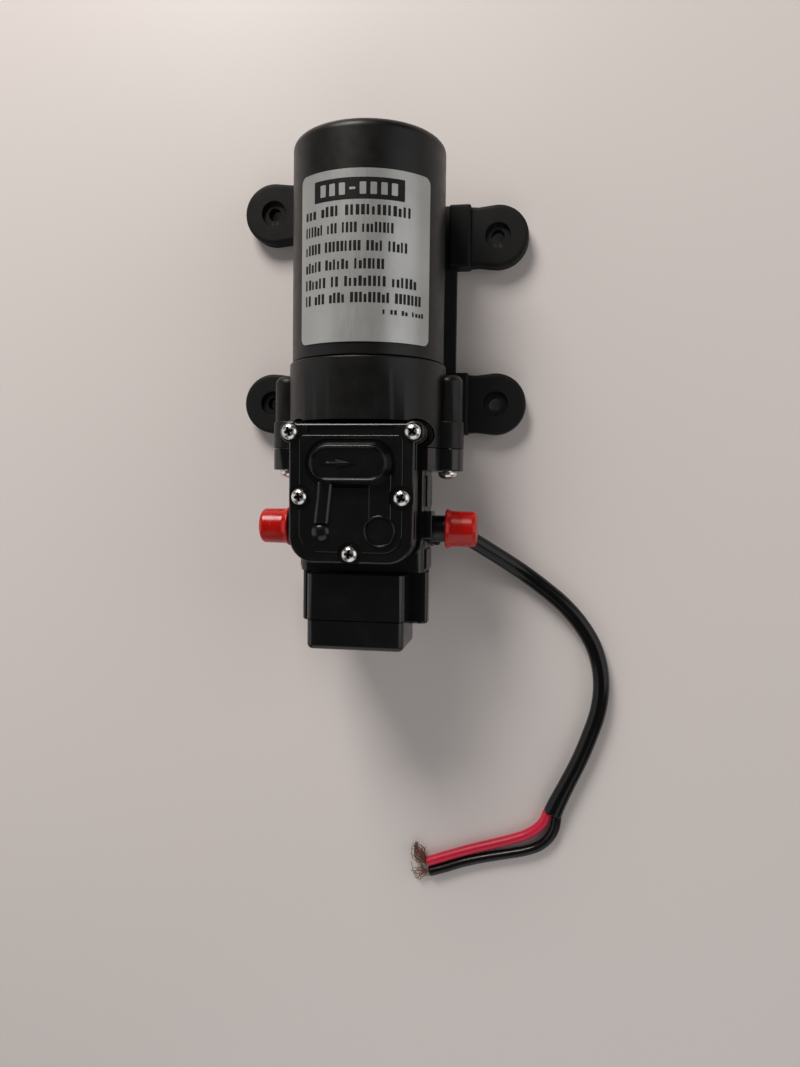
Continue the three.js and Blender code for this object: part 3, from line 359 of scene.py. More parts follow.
# ---- materials -------------------------------------------------------------------------
def shader(name, colour, roughness, **sockets):
    """A Principled material. Returns the material, its node tree and its shader node."""
    material = bpy.data.materials.new(name)
    material.use_nodes = True
    tree = material.node_tree
    principled = tree.nodes["Principled BSDF"]
    principled.inputs["Base Color"].default_value = (*colour, 1)
    principled.inputs["Roughness"].default_value = roughness
    for socket, value in sockets.items():
        principled.inputs[socket.replace("_", " ")].default_value = value
    return material, tree, principled


def noise(tree, scale, detail=3.0, stretch=(1, 1, 1), roughness=0.5):
    """Noise in the piece's own space, scale per metre."""
    place = tree.nodes.new("ShaderNodeTexCoord")
    mapping = tree.nodes.new("ShaderNodeMapping")
    mapping.inputs["Scale"].default_value = stretch
    texture = tree.nodes.new("ShaderNodeTexNoise")
    texture.inputs["Scale"].default_value = scale
    texture.inputs["Detail"].default_value = detail
    texture.inputs["Roughness"].default_value = roughness
    tree.links.new(place.outputs["Object"], mapping.inputs["Vector"])
    tree.links.new(mapping.outputs["Vector"], texture.inputs["Vector"])
    return texture.outputs["Fac"]


def spread(tree, fac, low, high, start=0.3, end=0.7):
    """Maps noise between two values."""
    node = tree.nodes.new("ShaderNodeMapRange")
    node.inputs["From Min"].default_value = start
    node.inputs["From Max"].default_value = end
    node.inputs["To Min"].default_value = low
    node.inputs["To Max"].default_value = high
    tree.links.new(fac, node.inputs["Value"])
    return node.outputs["Result"]


def vary_colour(tree, principled, fac, first, second, start=0.3, end=0.7):
    """Colour that wanders between two values with the noise."""
    ramp = tree.nodes.new("ShaderNodeValToRGB")
    ramp.color_ramp.elements[0].position = start
    ramp.color_ramp.elements[0].color = (*first, 1)
    ramp.color_ramp.elements[1].position = end
    ramp.color_ramp.elements[1].color = (*second, 1)
    tree.links.new(fac, ramp.inputs["Fac"])
    tree.links.new(ramp.outputs["Color"], principled.inputs["Base Color"])


def bump(tree, principled, fac, distance, strength=1.0, under=None):
    """Relief of a real height, distance in millimetres."""
    node = tree.nodes.new("ShaderNodeBump")
    node.inputs["Distance"].default_value = distance * MM
    node.inputs["Strength"].default_value = strength
    tree.links.new(fac, node.inputs["Height"])
    if under:
        tree.links.new(under, node.inputs["Normal"])
    tree.links.new(node.outputs["Normal"], principled.inputs["Normal"])
    return node.outputs["Normal"]


def can_paint():
    """Satin black paint with orange peel over drawn steel."""
    material, tree, principled = shader("can_paint", (0.005, 0.0047, 0.0045), 0.36, IOR=1.36)
    cloud = noise(tree, 90, 4)
    vary_colour(tree, principled, cloud, (0.0042, 0.0039, 0.0037), (0.0062, 0.0057, 0.0054))
    tree.links.new(spread(tree, noise(tree, 260, 4), 0.32, 0.42), principled.inputs["Roughness"])
    peel = bump(tree, principled, noise(tree, 900, 2), 0.012, 0.5)
    bump(tree, principled, noise(tree, 3800, 2), 0.004, 0.5, under=peel)
    return material


def bracket_paint():
    material, tree, principled = shader("bracket_paint", (0.007, 0.006, 0.006), 0.45, IOR=1.5)
    tree.links.new(spread(tree, noise(tree, 300, 4), 0.42, 0.58), principled.inputs["Roughness"])
    bump(tree, principled, noise(tree, 1500, 3), 0.015, 0.6)
    return material


def housing_plastic():
    """Glass-filled plastic with a fine spark-eroded grain."""
    material, tree, principled = shader("housing_plastic", (0.004, 0.0037, 0.0036), 0.36, IOR=1.36)
    vary_colour(tree, principled, noise(tree, 70, 3), (0.0032, 0.003, 0.0029), (0.005, 0.0046, 0.0044))
    tree.links.new(spread(tree, noise(tree, 180, 4), 0.32, 0.44), principled.inputs["Roughness"])
    bump(tree, principled, noise(tree, 4500, 3, roughness=0.65), 0.009, 0.6)
    return material


def head_plastic():
    """Glossy black moulding, slightly wavy, with faint handling haze."""
    material, tree, principled = shader("head_plastic", (0.003, 0.003, 0.003), 0.2, IOR=1.5)
    tree.links.new(
        spread(tree, noise(tree, 120, 5, roughness=0.6), 0.15, 0.3), principled.inputs["Roughness"]
    )
    wave = bump(tree, principled, noise(tree, 140, 2), 0.03, 0.35)
    bump(tree, principled, noise(tree, 2600, 2), 0.002, 0.4, under=wave)
    return material


def port_plastic():
    material, tree, principled = shader("port_plastic", (0.004, 0.004, 0.004), 0.35, IOR=1.48)
    tree.links.new(spread(tree, noise(tree, 240, 4), 0.28, 0.44), principled.inputs["Roughness"])
    bump(tree, principled, noise(tree, 2400, 3), 0.006, 0.5)
    return material


def rubber(name, colour):
    material, tree, principled = shader(name, colour, 0.6, IOR=1.3)
    lighter = tuple(1.5 * c for c in colour)
    vary_colour(tree, principled, noise(tree, 110, 5, roughness=0.65), colour, lighter)
    tree.links.new(spread(tree, noise(tree, 150, 5), 0.5, 0.7), principled.inputs["Roughness"])
    bump(tree, principled, noise(tree, 3000, 3), 0.012, 0.6)
    return material


def metal(name, colour, low, high, stretch=(1, 1, 1), scale=1400):
    """Bare or plated metal: roughness and relief follow the same fine marks."""
    material, tree, principled = shader(name, colour, (low + high) / 2, Metallic=1.0)
    marks = noise(tree, scale, 4, stretch)
    tree.links.new(spread(tree, marks, low, high), principled.inputs["Roughness"])
    darker = tuple(0.8 * c for c in colour)
    vary_colour(tree, principled, noise(tree, 500, 3), darker, colour)
    bump(tree, principled, marks, 0.004, 0.4)
    return material


def plain_plastic(name, colour, roughness, relief=0.006, **sockets):
    material, tree, principled = shader(name, colour, roughness, **sockets)
    darker = tuple(0.86 * c for c in colour)
    vary_colour(tree, principled, noise(tree, 160, 3), darker, colour)
    low, high = roughness * 0.8, min(1.0, roughness * 1.25)
    tree.links.new(spread(tree, noise(tree, 220, 4), low, high), principled.inputs["Roughness"])
    bump(tree, principled, noise(tree, 1800, 3), relief, 0.5)
    return material


def cap_vinyl():
    """Glossy dip-moulded vinyl, slightly uneven."""
    material, tree, principled = shader(
        "cap_vinyl", (0.5, 0.004, 0.001), 0.2, IOR=1.45
    )
    vary_colour(tree, principled, noise(tree, 200, 3), (0.42, 0.003, 0.001), (0.56, 0.006, 0.002))
    tree.links.new(spread(tree, noise(tree, 300, 4), 0.16, 0.3), principled.inputs["Roughness"])
    bump(tree, principled, noise(tree, 330, 2), 0.06, 0.5)
    return material


def label_film():
    """Satin silver film with a fine grain along the motor."""
    material, tree, principled = shader("label_film", (0.4, 0.4, 0.39), 0.36, Metallic=0.5, IOR=1.5)
    vary_colour(tree, principled, noise(tree, 60, 3), (0.36, 0.36, 0.35), (0.43, 0.43, 0.42))
    grain = noise(tree, 2200, 3, stretch=(1, 0.08, 1))
    tree.links.new(spread(tree, grain, 0.3, 0.42), principled.inputs["Roughness"])
    bump(tree, principled, grain, 0.002, 0.4)
    return material


def print_ink():
    material, tree, principled = shader("print_ink", (0.01, 0.01, 0.01), 0.5, IOR=1.25)
    tree.links.new(spread(tree, noise(tree, 3000, 2), 0.38, 0.55), principled.inputs["Roughness"])
    vary_colour(tree, principled, noise(tree, 900, 3), (0.007, 0.007, 0.007), (0.014, 0.014, 0.014))
    return material


MATERIALS = {
    "can_paint": can_paint(),
    "bracket_paint": bracket_paint(),
    "housing_plastic": housing_plastic(),
    "head_plastic": head_plastic(),
    "port_plastic": port_plastic(),
    "acetal": plain_plastic("acetal", (0.8, 0.78, 0.72), 0.4),
    "button_red": plain_plastic("button_red", (0.55, 0.03, 0.02), 0.3),
    "label": label_film(),
    "zinc": metal("zinc", (0.8, 0.79, 0.76), 0.14, 0.3),
    "steel": metal("steel", (0.5, 0.51, 0.52), 0.2, 0.4),
    "bronze": metal("bronze", (0.55, 0.36, 0.16), 0.3, 0.5),
    "copper": metal("copper", (0.62, 0.3, 0.14), 0.25, 0.4, stretch=(1, 0.1, 1)),
    "bare_copper": metal("bare_copper", (0.34, 0.17, 0.11), 0.35, 0.55),
    "ferrite": plain_plastic("ferrite", (0.05, 0.05, 0.055), 0.7, 0.02),
    "carbon": plain_plastic("carbon", (0.03, 0.03, 0.032), 0.6, 0.02),
    "phenolic": plain_plastic("phenolic", (0.16, 0.07, 0.03), 0.45),
    "epdm": rubber("epdm", (0.008, 0.008, 0.008)),
    "foot_rubber": rubber("foot_rubber", (0.004, 0.0037, 0.0037)),
    "cap_vinyl": cap_vinyl(),
    "jacket_pvc": plain_plastic("jacket_pvc", (0.003, 0.003, 0.003), 0.2, 0.008, IOR=1.36),
    "red_pvc": plain_plastic("red_pvc", (0.62, 0.008, 0.045), 0.36, 0.008, IOR=1.5),
    "black_pvc": plain_plastic("black_pvc", (0.003, 0.003, 0.003), 0.25, 0.01, IOR=1.38),
}
INK = print_ink()
# Dark brown metal for the faces inside each screw's cross recess: painted shade in the recess.
RECESS_SHADE = metal("screw_recess_painted_shade", (0.07, 0.045, 0.035), 0.4, 0.6)
SLOT_OF = {part["node"]: part["material_slot"] for part in frame["record"]["subparts"]}


def dress(obj, material):
    obj.data.materials.clear()
    obj.data.materials.append(material)


def dress_nodes():
    """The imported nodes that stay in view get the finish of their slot."""
    for node, obj in frame["nodes"].items():
        dress(obj, MATERIALS[SLOT_OF[node]])


def stand_in(obj, name, node):
    """Names a new piece, finishes it as the node it stands for, and rides on that node's body."""
    obj.name = name
    obj.data.name = name
    slot = SLOT_OF[node]
    dress(obj, MATERIALS[slot])
    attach(obj, frame["nodes"][node]["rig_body"])
    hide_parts(node)
    return obj


# ---- lead -------------------------------------------------------------------------------------
CABLE_WIDTH = 0.0056
WIRE_WIDTH = 0.0035
STRAND_WIDTH = 0.0002
FLOOR_CABLE_Z = CABLE_WIDTH / 2 + 0.0002
FLOOR_WIRE_Z = WIRE_WIDTH / 2 + 0.0001
CABLE_ROUTE = [
    (0.0175, -0.0446, 0.0135),
    (0.021, -0.0446, 0.0135),
    (0.025, -0.0449, 0.0132),
    (0.0288, -0.0459, 0.0125),
    (0.0323, -0.0474, 0.0113),
    (0.0354, -0.0493, 0.0097),
    (0.0385, -0.0513, 0.0081),
    (0.0416, -0.0533, 0.0065),
    (0.0448, -0.0554, 0.005),
    (0.0481, -0.0576, 0.0038),
    (0.0516, -0.06, 0.0031),
    (0.0576, -0.0644, FLOOR_CABLE_Z),
    (0.0642, -0.0698, FLOOR_CABLE_Z),
    (0.0702, -0.0764, FLOOR_CABLE_Z),
    (0.0748, -0.0839, FLOOR_CABLE_Z),
    (0.0772, -0.0916, FLOOR_CABLE_Z),
    (0.0778, -0.0993, FLOOR_CABLE_Z),
    (0.0768, -0.1073, FLOOR_CABLE_Z),
    (0.0743, -0.1155, FLOOR_CABLE_Z),
    (0.0709, -0.1245, FLOOR_CABLE_Z),
    (0.0668, -0.1334, FLOOR_CABLE_Z),
    (0.0636, -0.1404, FLOOR_CABLE_Z),
    (0.0622, -0.1439, FLOOR_CABLE_Z),
]
RED_ROUTE = [
    (0.0605, -0.1441, FLOOR_WIRE_Z),
    (0.059, -0.1478, FLOOR_WIRE_Z),
    (0.0548, -0.1518, FLOOR_WIRE_Z),
    (0.0492, -0.1544, FLOOR_WIRE_Z),
    (0.0422, -0.1568, FLOOR_WIRE_Z),
    (0.0333, -0.1597, FLOOR_WIRE_Z),
    (0.0243, -0.163, FLOOR_WIRE_Z),
    (0.0181, -0.1654, FLOOR_WIRE_Z),
]
BLACK_ROUTE = [
    (0.0637, -0.1452, FLOOR_WIRE_Z),
    (0.063, -0.1498, FLOOR_WIRE_Z),
    (0.0608, -0.1538, FLOOR_WIRE_Z),
    (0.0574, -0.1567, FLOOR_WIRE_Z),
    (0.0528, -0.1586, FLOOR_WIRE_Z),
    (0.0476, -0.16, FLOOR_WIRE_Z),
    (0.0405, -0.1617, FLOOR_WIRE_Z),
    (0.0315, -0.1643, FLOOR_WIRE_Z),
    (0.0243, -0.1671, FLOOR_WIRE_Z),
    (0.0189, -0.169, FLOOR_WIRE_Z),
]


def smooth_route(points, per_span=8):
    """A centripetal Catmull-Rom curve through the points."""
    knots = [Vector(p) for p in points]
    knots = [2 * knots[0] - knots[1], *knots, 2 * knots[-1] - knots[-2]]
    line = []
    for before, first, second, after in zip(knots, knots[1:], knots[2:], knots[3:]):
        gaps = [(b - a).length ** 0.5 for a, b in ((before, first), (first, second), (second, after))]
        leave = (first - before) / gaps[0] - (second - before) / (gaps[0] + gaps[1])
        leave = (leave + (second - first) / gaps[1]) * gaps[1]
        arrive = (second - first) / gaps[1] - (after - first) / (gaps[1] + gaps[2])
        arrive = (arrive + (after - second) / gaps[2]) * gaps[1]
        for i in range(per_span):
            t = i / per_span
            line.append(
                first * (2 * t**3 - 3 * t**2 + 1)
                + leave * (t**3 - 2 * t**2 + t)
                + second * (3 * t**2 - 2 * t**3)
                + arrive * (t**3 - t**2)
            )
    line.append(Vector(points[-1]))
    return line


def line_length(line):
    return sum((b - a).length for a, b in zip(line, line[1:]))


def make_cable():
    """The jacket widens to an oval where it was cut back, and its end is hollow."""
    line = smooth_route(CABLE_ROUTE)
    total = line_length(line)
    walked, flare = 0.0, 0.016
    sections = []
    for i, point in enumerate(line):
        if i:
            walked += (point - line[i - 1]).length
        near_end = max(0.0, 1 - (total - walked) / flare)
        width = CABLE_WIDTH * (1 + 0.18 * near_end**1.5)
        sections.append((width, CABLE_WIDTH * (1 - 0.02 * near_end)))
    cable = tube(line, sections, 28)
    end = line[-1]
    back = (line[-6] - end).normalized()
    hollow = tube([end + back * 0.0022, end - back * 0.001], [(0.0052, 0.0042)] * 2, 28)
    cable = smoothed(bevelled(cut(cable, hollow), 0.25))
    stand_in(cable, "cable_jacket", "power_cable")
    return line


def make_wire(name, node, route, turn, half_width, seed, count):
    """One insulated core from inside the jacket's end, with its bare strands fanned out."""
    line = smooth_route(route)
    wire = tube(line, [(WIRE_WIDTH, WIRE_WIDTH)] * len(line), 24)
    wire = smoothed(bevelled(wire, 0.15))
    stand_in(wire, name, node)
    strands = make_strands(line[-1], line[-1] - line[-2], turn, half_width, seed, count)
    strands = stand_in(smoothed(strands, 60), f"{name}_strands", f"{node}_strands")


def make_strands(end, ahead, turn, half_width, seed, count):
    """A frayed brush of fine strands that leave the wire together, spread and curl as they go."""
    draw = random.Random(seed)
    ahead = ahead.normalized()
    side = ahead.cross(Vector((0, 0, 1))).normalized()
    up = Vector((0, 0, 1))
    lean = Vector((math.cos(math.radians(turn)), math.sin(math.radians(turn)), 0))
    across = lean.cross(up).normalized()
    hairs = []
    for _ in range(count):
        angle = draw.uniform(0, 2 * math.pi)
        reach = 0.0009 * math.sqrt(draw.random())
        start = end - ahead * 0.0012 + side * (reach * math.cos(angle)) + up * (reach * math.sin(angle))
        aim = draw.gauss(0, 0.6)
        length = draw.uniform(0.0045, 0.0085)
        curl = draw.gauss(0, 0.0013)
        lift = draw.uniform(-0.0012, 0.0018)
        points = []
        for k in range(9):
            t = k / 8
            point = start + (ahead * (1 - t) + lean * t) * (length * t)
            point = point + across * (half_width * aim * t**1.3 + curl * math.sin(math.pi * t * 2.2) * t)
            point = point + up * (lift * math.sin(math.pi * t * 0.6) * t)
            point.z = max(point.z, 0.00012)
            points.append(point)
        hairs.append(tube(points, [(STRAND_WIDTH, STRAND_WIDTH)] * len(points), 6))
    return merged("strands", hairs)


cable_line = make_cable()
make_wire("red_core", "red_wire", RED_ROUTE, 140, 0.0024, 4, 44)
make_wire("black_core", "black_wire", BLACK_ROUTE, 176, 0.0022, 9, 20)


# ---- motor ---------------------------------------------------------------------------------------
def make_can():
    """Deep-drawn can: rolled front rim, rounded shoulder, bearing boss."""
    wall, shoulder, pocket = 1.2, 3.0, 5.3
    rear = CAN_HIGH.y - 2.8
    inner = CAN_RADIUS - wall
    boss = 6.8
    profile = [(0, CAN_HIGH.y - wall), (pocket, CAN_HIGH.y - wall), (pocket, rear - wall)]
    profile += arc(inner - 1.8, rear - shoulder, 1.8, 90, 0, 6)
    profile += [(inner, CAN_LOW.y)]
    profile += arc(CAN_RADIUS - 0.3, CAN_LOW.y + 0.3, 0.3, 270, 360, 3)
    profile += arc(CAN_RADIUS - shoulder, rear - shoulder, shoulder, 0, 90, 12)
    profile += [(14.0, rear), (13.6, rear - 0.4), (11.2, rear - 0.4), (10.8, rear)]
    profile += arc(boss + 0.8, rear + 0.8, 0.8, 270, 180, 5)
    profile += arc(boss - 0.8, CAN_HIGH.y - 0.8, 0.8, 0, 90, 5)
    profile += [(0, CAN_HIGH.y)]
    can = lathe(profile, "y", (0, 0, AXIS_Z), 128)
    return stand_in(smoothed(can), "can_shell", "motor_can")


def wrapped(outline, radius, thickness, centre_angle=0.0):
    """A flat outline of arc length and y, laid on a cylinder about the motor axis.
    centre_angle is measured from straight up, positive towards +x."""
    bm = bmesh.new()
    verts = [bm.verts.new((u, v, 0)) for u, v in outline]
    bm.faces.new(verts)
    reach = max(abs(u) for u, _ in outline)
    step = radius * math.radians(3)
    for side in (-1, 1):
        for i in range(int(reach / step) + 1):
            geometry = bm.verts[:] + bm.edges[:] + bm.faces[:]
            bmesh.ops.bisect_plane(bm, geom=geometry, plane_co=(side * i * step, 0, 0), plane_no=(1, 0, 0))
    extruded = bmesh.ops.extrude_face_region(bm, geom=bm.faces[:], use_keep_orig=True)
    for vert in [item for item in extruded["geom"] if isinstance(item, bmesh.types.BMVert)]:
        vert.co.z = thickness
    for vert in bm.verts:
        turn = vert.co.x / radius + math.radians(centre_angle)
        out = radius + vert.co.z
        vert.co = (out * math.sin(turn), vert.co.y, AXIS_Z + out * math.cos(turn))
    return from_bmesh(bm)


LABEL_CENTRE = 7.25  # degrees from straight up to the middle of the label
LABEL_SPAN = 103.5
LABEL_RADIUS = CAN_RADIUS + 0.2
LABEL_THICKNESS = 0.2
LABEL_HALF = LABEL_RADIUS * math.radians(LABEL_SPAN / 2)


def make_label():
    outline = rounded(-LABEL_HALF, LABEL_LOW.y, LABEL_HALF, LABEL_HIGH.y, 2.2)(0)
    film = wrapped(outline, LABEL_RADIUS, LABEL_THICKNESS, LABEL_CENTRE)
    stand_in(smoothed(film), "label_film", "rating_label")


def tick_line(draw, left, y, height, width, counts):
    """A row of plain upright bars, in groups like words, that fills a width."""
    pitch = width / (sum(counts) + len(counts) - 1)
    bars = []
    for count in counts:
        for _ in range(count):
            tall = height * draw.choice((1.0, 1.0, 0.8))
            thick = pitch * draw.choice((0.5, 0.62, 0.7))
            outline = rounded(left, y - height / 2, left + thick, y - height / 2 + tall, 0.12)(0)
            bars.append(wrapped(outline, LABEL_RADIUS + LABEL_THICKNESS - 0.02, 0.045, LABEL_CENTRE))
            left += pitch
        left += pitch
    return bars


def on_label(name, bars, material):
    """Print that lies on the label and rides with it."""
    printed = smoothed(merged(name, bars))
    dress(printed, material)
    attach(printed, "frame")


def make_print():
    """Generic print: a title block and rows of plain bars, no letters."""
    draw = random.Random(5)
    top = LABEL_HIGH.y
    left = -LABEL_HALF + 2.2
    rows = [
        (11.9, 35.0, (3, 4, 13)),
        (16.9, 29.2, (6, 3, 4, 8)),
        (22.2, 33.7, (5, 9, 4, 5)),
        (27.4, 26.5, (5, 6, 7)),
        (32.4, 37.0, (6, 2, 9, 6)),
        (37.1, 38.8, (2, 3, 4, 9, 7)),
    ]
    bars = []
    for down, width, counts in rows:
        bars += tick_line(draw, left, top - down, 3.0, width, counts)
    bars += tick_line(draw, LABEL_HALF - 16.2, top - 41.2, 1.4, 14.2, (1, 2, 2, 4))
    half = LABEL_RADIUS * math.radians(33.5)
    shift = LABEL_RADIUS * math.radians(-4.3)
    title = rounded(shift - half, top - 8.9, shift + half, top - 2.6, 0.3)(0)
    bars.append(wrapped(title, LABEL_RADIUS + LABEL_THICKNESS - 0.02, 0.045, LABEL_CENTRE))
    on_label("label_print", bars, INK)
    pitch, wide, tall = 3.15, 1.9, 3.5
    start = shift - 3.5 * pitch - wide / 2
    middle_y = top - 5.75
    words = []
    for i in range(8):
        high = 0.7 if i == 3 else tall
        left = start + i * pitch
        outline = rounded(left, middle_y - high / 2, left + wide, middle_y + high / 2, 0.25)(0)
        words.append(wrapped(outline, LABEL_RADIUS + LABEL_THICKNESS, 0.045, LABEL_CENTRE))
    on_label("label_title_bars", words, MATERIALS["label"])


# ---- drive housing ----------------------------------------------------------------------------------
def round_post(radius, low, high, x, z, round_high=0.0):
    """A post along y, its far end rounded on request."""
    profile = [(0, low), (radius, low)]
    if round_high:
        profile += arc(radius - round_high, high - round_high, round_high, 0, 90, 8)
    else:
        profile += [(radius, high)]
    profile += [(0, high)]
    return lathe(profile, "y", (x, 0, z), 48)


def cover_notch():
    """Clearance in the drive housing for the head's rim and the cover's two upper lugs."""
    low, floor_z, gap = HOUSING_LOW.y - 1, HEAD_TOP_Z - 3.3, 1.2
    parts = [block((-COVER_HALF - gap, low, floor_z), (COVER_HALF + gap, COVER_TOP_Y + gap, HIGH_UP))]
    for side in (-1, 1):
        parts.append(prism(disc(side * LUG_X, LUG_Y, LUG_RADIUS + gap), "z", floor_z, HIGH_UP))
    return parts


def make_drive_housing():
    """Barrel with a screw ear, post and rib on either side, open towards the motor."""
    low, high = HOUSING_LOW.y, HOUSING_HIGH.y
    edge, ear_depth, post_radius, rib_half = 0.6, 8.6, 4.5, 1.6
    profile = [(0, low), (HOUSING_RADIUS, low)]
    profile += arc(HOUSING_RADIUS - edge, high - edge, edge, 0, 90, 4) + [(0, high)]
    barrel = cut(lathe(profile, "y", (0, 0, AXIS_Z), 128), *cover_notch())
    parts, bores = [], []
    for side in (-1, 1):
        x = side * EAR_X
        ear = capsule(0, AXIS_Z, x, AXIS_Z, EAR_RADIUS)
        parts.append(prism(ear, "y", low, low + ear_depth, 0.0, 0.5))
        parts.append(round_post(post_radius, low, high - 3.1, x, AXIS_Z, 2.5))
        rib_low, rib_high = (min(0, x), low + 1, AXIS_Z - rib_half), (max(0, x), high - 8, AXIS_Z + rib_half)
        parts.append(block(rib_low, rib_high, "y", 0.4))
        bores.append(round_post(SCREW_BORE, low - 1, high - 8.1, x, AXIS_Z))
    cavity_y, cavity_radius, shaft_bore = high - 12.1, 21.5, 4.6
    for radius, start, end, sides in (
        (shaft_bore, low - 1, cavity_y + 3.5, 48),
        (cavity_radius, cavity_y, high + 1, 96),
    ):
        bores.append(lathe(rod(radius, start, end), "y", (0, 0, AXIS_Z), sides))
    body = cut(joined(barrel, *parts), *bores)
    stand_in(smoothed(bevelled(body, 0.25)), "drive_casing", "drive_housing")


# ---- pump head --------------------------------------------------------------------------------------
HEAD_HALF = 20.0
HEAD_FLOOR_Z = 8.0
HEAD_WAIST_Z = 22.0
HEAD_TOP_Z = 39.0
HEAD_RIM_Z = HEAD_HIGH.z
HEAD_SEAM = HOUSING_LOW.y - 0.3
FLANGE_LOW = HEAD_SEAM - 6.8
CHAMBER_RADIUS = 6.0
CHAMBER_DEPTH = 3.5
GLAND = middle("cable_gland")
PORT = middle("inlet_port")
PORT_Y, PORT_Z = PORT.y, PORT.z


def cover_outline(grow=0.0, lug_radius=LUG_RADIUS):
    """The cover's outline, shared by every layer under it: round lower corners, a lug at each upper one."""
    half = COVER_HALF + grow
    low = COVER_LOW.y - grow
    top = COVER_TOP_Y + grow
    corner = COVER_CORNER + grow

    def outline(inset):
        h, r = half - inset, lug_radius - inset
        c = max(corner - inset, 0.1)
        bottom, upper = low + inset, top - inset
        enter = math.degrees(math.asin(max(-1, min(1, (h - LUG_X) / r))))
        leave = math.degrees(math.asin(max(-1, min(1, (upper - LUG_Y) / r))))
        right = arc(h - c, bottom + c, c, 270, 360, 12) + arc(LUG_X, LUG_Y, r, -90 + enter, 180 - leave, 20)
        left = [(-u, v) for u, v in reversed(right)]
        return right + left

    return outline


def cover_screw_places():
    return [middle(f"cover_screw_{i}") for i in range(1, 6)]


def screw_bores(low, high, radius=1.8):
    return [prism(disc(p.x, p.y, radius, 24), "z", low, high) for p in cover_screw_places()]


def head_section(inset):
    """The head's outline in x and z: upright walls that draw in towards the floor."""
    draw, corner, foot = HEAD_HALF - 1.4, 3.0, 2.5
    half = HEAD_HALF - inset
    top = HEAD_TOP_Z - corner
    right = arc(draw - foot - inset, HEAD_FLOOR_Z + foot, foot, 270, 352, 6)
    right += [(half, HEAD_WAIST_Z)] + arc(half - corner, top - inset, corner, 0, 90, 8)
    return right + [(-u, v) for u, v in reversed(right)]


def port_tabs():
    """A tab over each port's root that holds the port in."""
    tabs = []
    for side in (-1, 1):
        x0, x1 = sorted((side * (HEAD_HALF - 1), side * (HEAD_HALF + 2.2)))
        tabs.append(prism(
            rounded(PORT_Y - 3, PORT_Z + 1, PORT_Y + 5.8, PORT_Z + 9.5, 0.7), "x", x0, x1, 0.3, 0.3
        ))
    return tabs


def side_ribs():
    """Low raised panels on both side walls, above and below the ports."""
    ribs = []
    for side in (-1, 1):
        wall = side * HEAD_HALF
        for y0, y1 in ((PORT_Y + 7.2, FLANGE_LOW - 1.5), (HEAD_LOW.y + 0.8, PORT_Y - 6.4)):
            x0, x1 = sorted((wall - side * 2, wall + side * 0.5))
            ribs.append(block((x0, y0, HEAD_WAIST_Z + 1.5), (x1, y1, 35.5), "x", 0.8))
    return ribs


def head_flange():
    """Round flange against the drive housing, with an ear for a screw on either side."""
    flange = lathe(rod(HOUSING_RADIUS, FLANGE_LOW, HEAD_SEAM), "y", (0, 0, AXIS_Z), 128)
    ears = []
    for side in (-1, 1):
        outline = capsule(0, AXIS_Z, side * EAR_X, AXIS_Z, EAR_RADIUS)
        ears.append(prism(outline, "y", FLANGE_LOW, HEAD_SEAM, 0.4, 0.0))
    above = block((-30, -60, HEAD_RIM_Z - 0.5), (30, 0, HIGH_UP))
    return cut(joined(flange, *ears), above)


def head_hollows():
    """The rocker's pocket and the ways in for the cam, the pin, the lead, the ports and the screws."""
    rocker_low, rocker_high = span("rocker")
    pin_low, pin_high = span("rocker_pin")
    across, along, pocket_floor = 2.2, 1.4, 17
    hollows = [
        block(
            (rocker_low.x - across, rocker_low.y - along, pocket_floor),
            (rocker_high.x + across, rocker_high.y + along, HEAD_RIM_Z + 1),
        ),
        lathe(rod(8.8, rocker_high.y + 0.4, HEAD_SEAM + 1), "y", (0, 0, AXIS_Z), 64),
        lathe(rod(1.5, pin_low.y - 0.4, pin_high.y + 0.4), "y", (0, 0, middle("rocker_pin").z), 24),
        lathe(rod(3.9, 6, HEAD_HALF + 4), "x", (0, GLAND.y, GLAND.z), 32),
    ]
    for side in (-1, 1):
        port_bore = facing(rod(4.8, HEAD_HALF - 7, HEAD_HALF + 6), side)
        hollows.append(lathe(port_bore, "x", (0, PORT_Y, PORT_Z), 48))
        hollows.append(round_post(SCREW_BORE, FLANGE_LOW - 1, HEAD_SEAM + 1, side * EAR_X, AXIS_Z))
    return hollows + screw_bores(HEAD_TOP_Z - 1.5, HEAD_RIM_Z + 1)


def make_pump_head():
    body = prism(head_section, "y", HEAD_LOW.y, FLANGE_LOW + 1)
    rim = prism(cover_outline(0.9, 4.2), "z", HEAD_TOP_Z - 2, HEAD_RIM_Z, 0.5, 0.0)
    lead_pad = lathe(rod(5.4, HEAD_HALF - 4, HEAD_HALF), "x", (0, GLAND.y, GLAND.z), 48)
    head = joined(body, rim, head_flange(), lead_pad, *port_tabs(), *side_ribs())
    head = cut(head, *head_hollows())
    stand_in(smoothed(bevelled(head, 0.22)), "head_moulding", "pump_head")


def make_layers():
    """Valve plate between the head and the cover, with a chamber under each piston and bores for the screws.
    """
    plate = prism(cover_outline(), "z", VALVE_LOW.z, VALVE_HIGH.z, 0.25, 0.25)
    chambers = []
    for word in ("left", "right"):
        chamber = disc(middle(f"piston_{word}").x, middle("rocker").y, CHAMBER_RADIUS, 40)
        chambers.append(prism(chamber, "z", VALVE_LOW.z - 1, VALVE_LOW.z + CHAMBER_DEPTH))
    plate = cut(plate, *chambers, *screw_bores(40, 60))
    stand_in(smoothed(bevelled(plate, 0.1)), "valve_block", "valve_plate")


# ---- front cover -----------------------------------------------------------------------------------
STADIUM_Y = COVER_LOW.y + 29.8
STADIUM_REACH = 6.3
STADIUM_TOP_RADIUS = 4.9
STADIUM_FLARE = 1.8
PLATEAU_RISE = 0.45
RIDGE_X = -9.0
RIDGE_TOP_X = -7.2
DISC_X = 9.0
DISC_Y = COVER_LOW.y + 9.9
DISC_RADIUS = 4.75


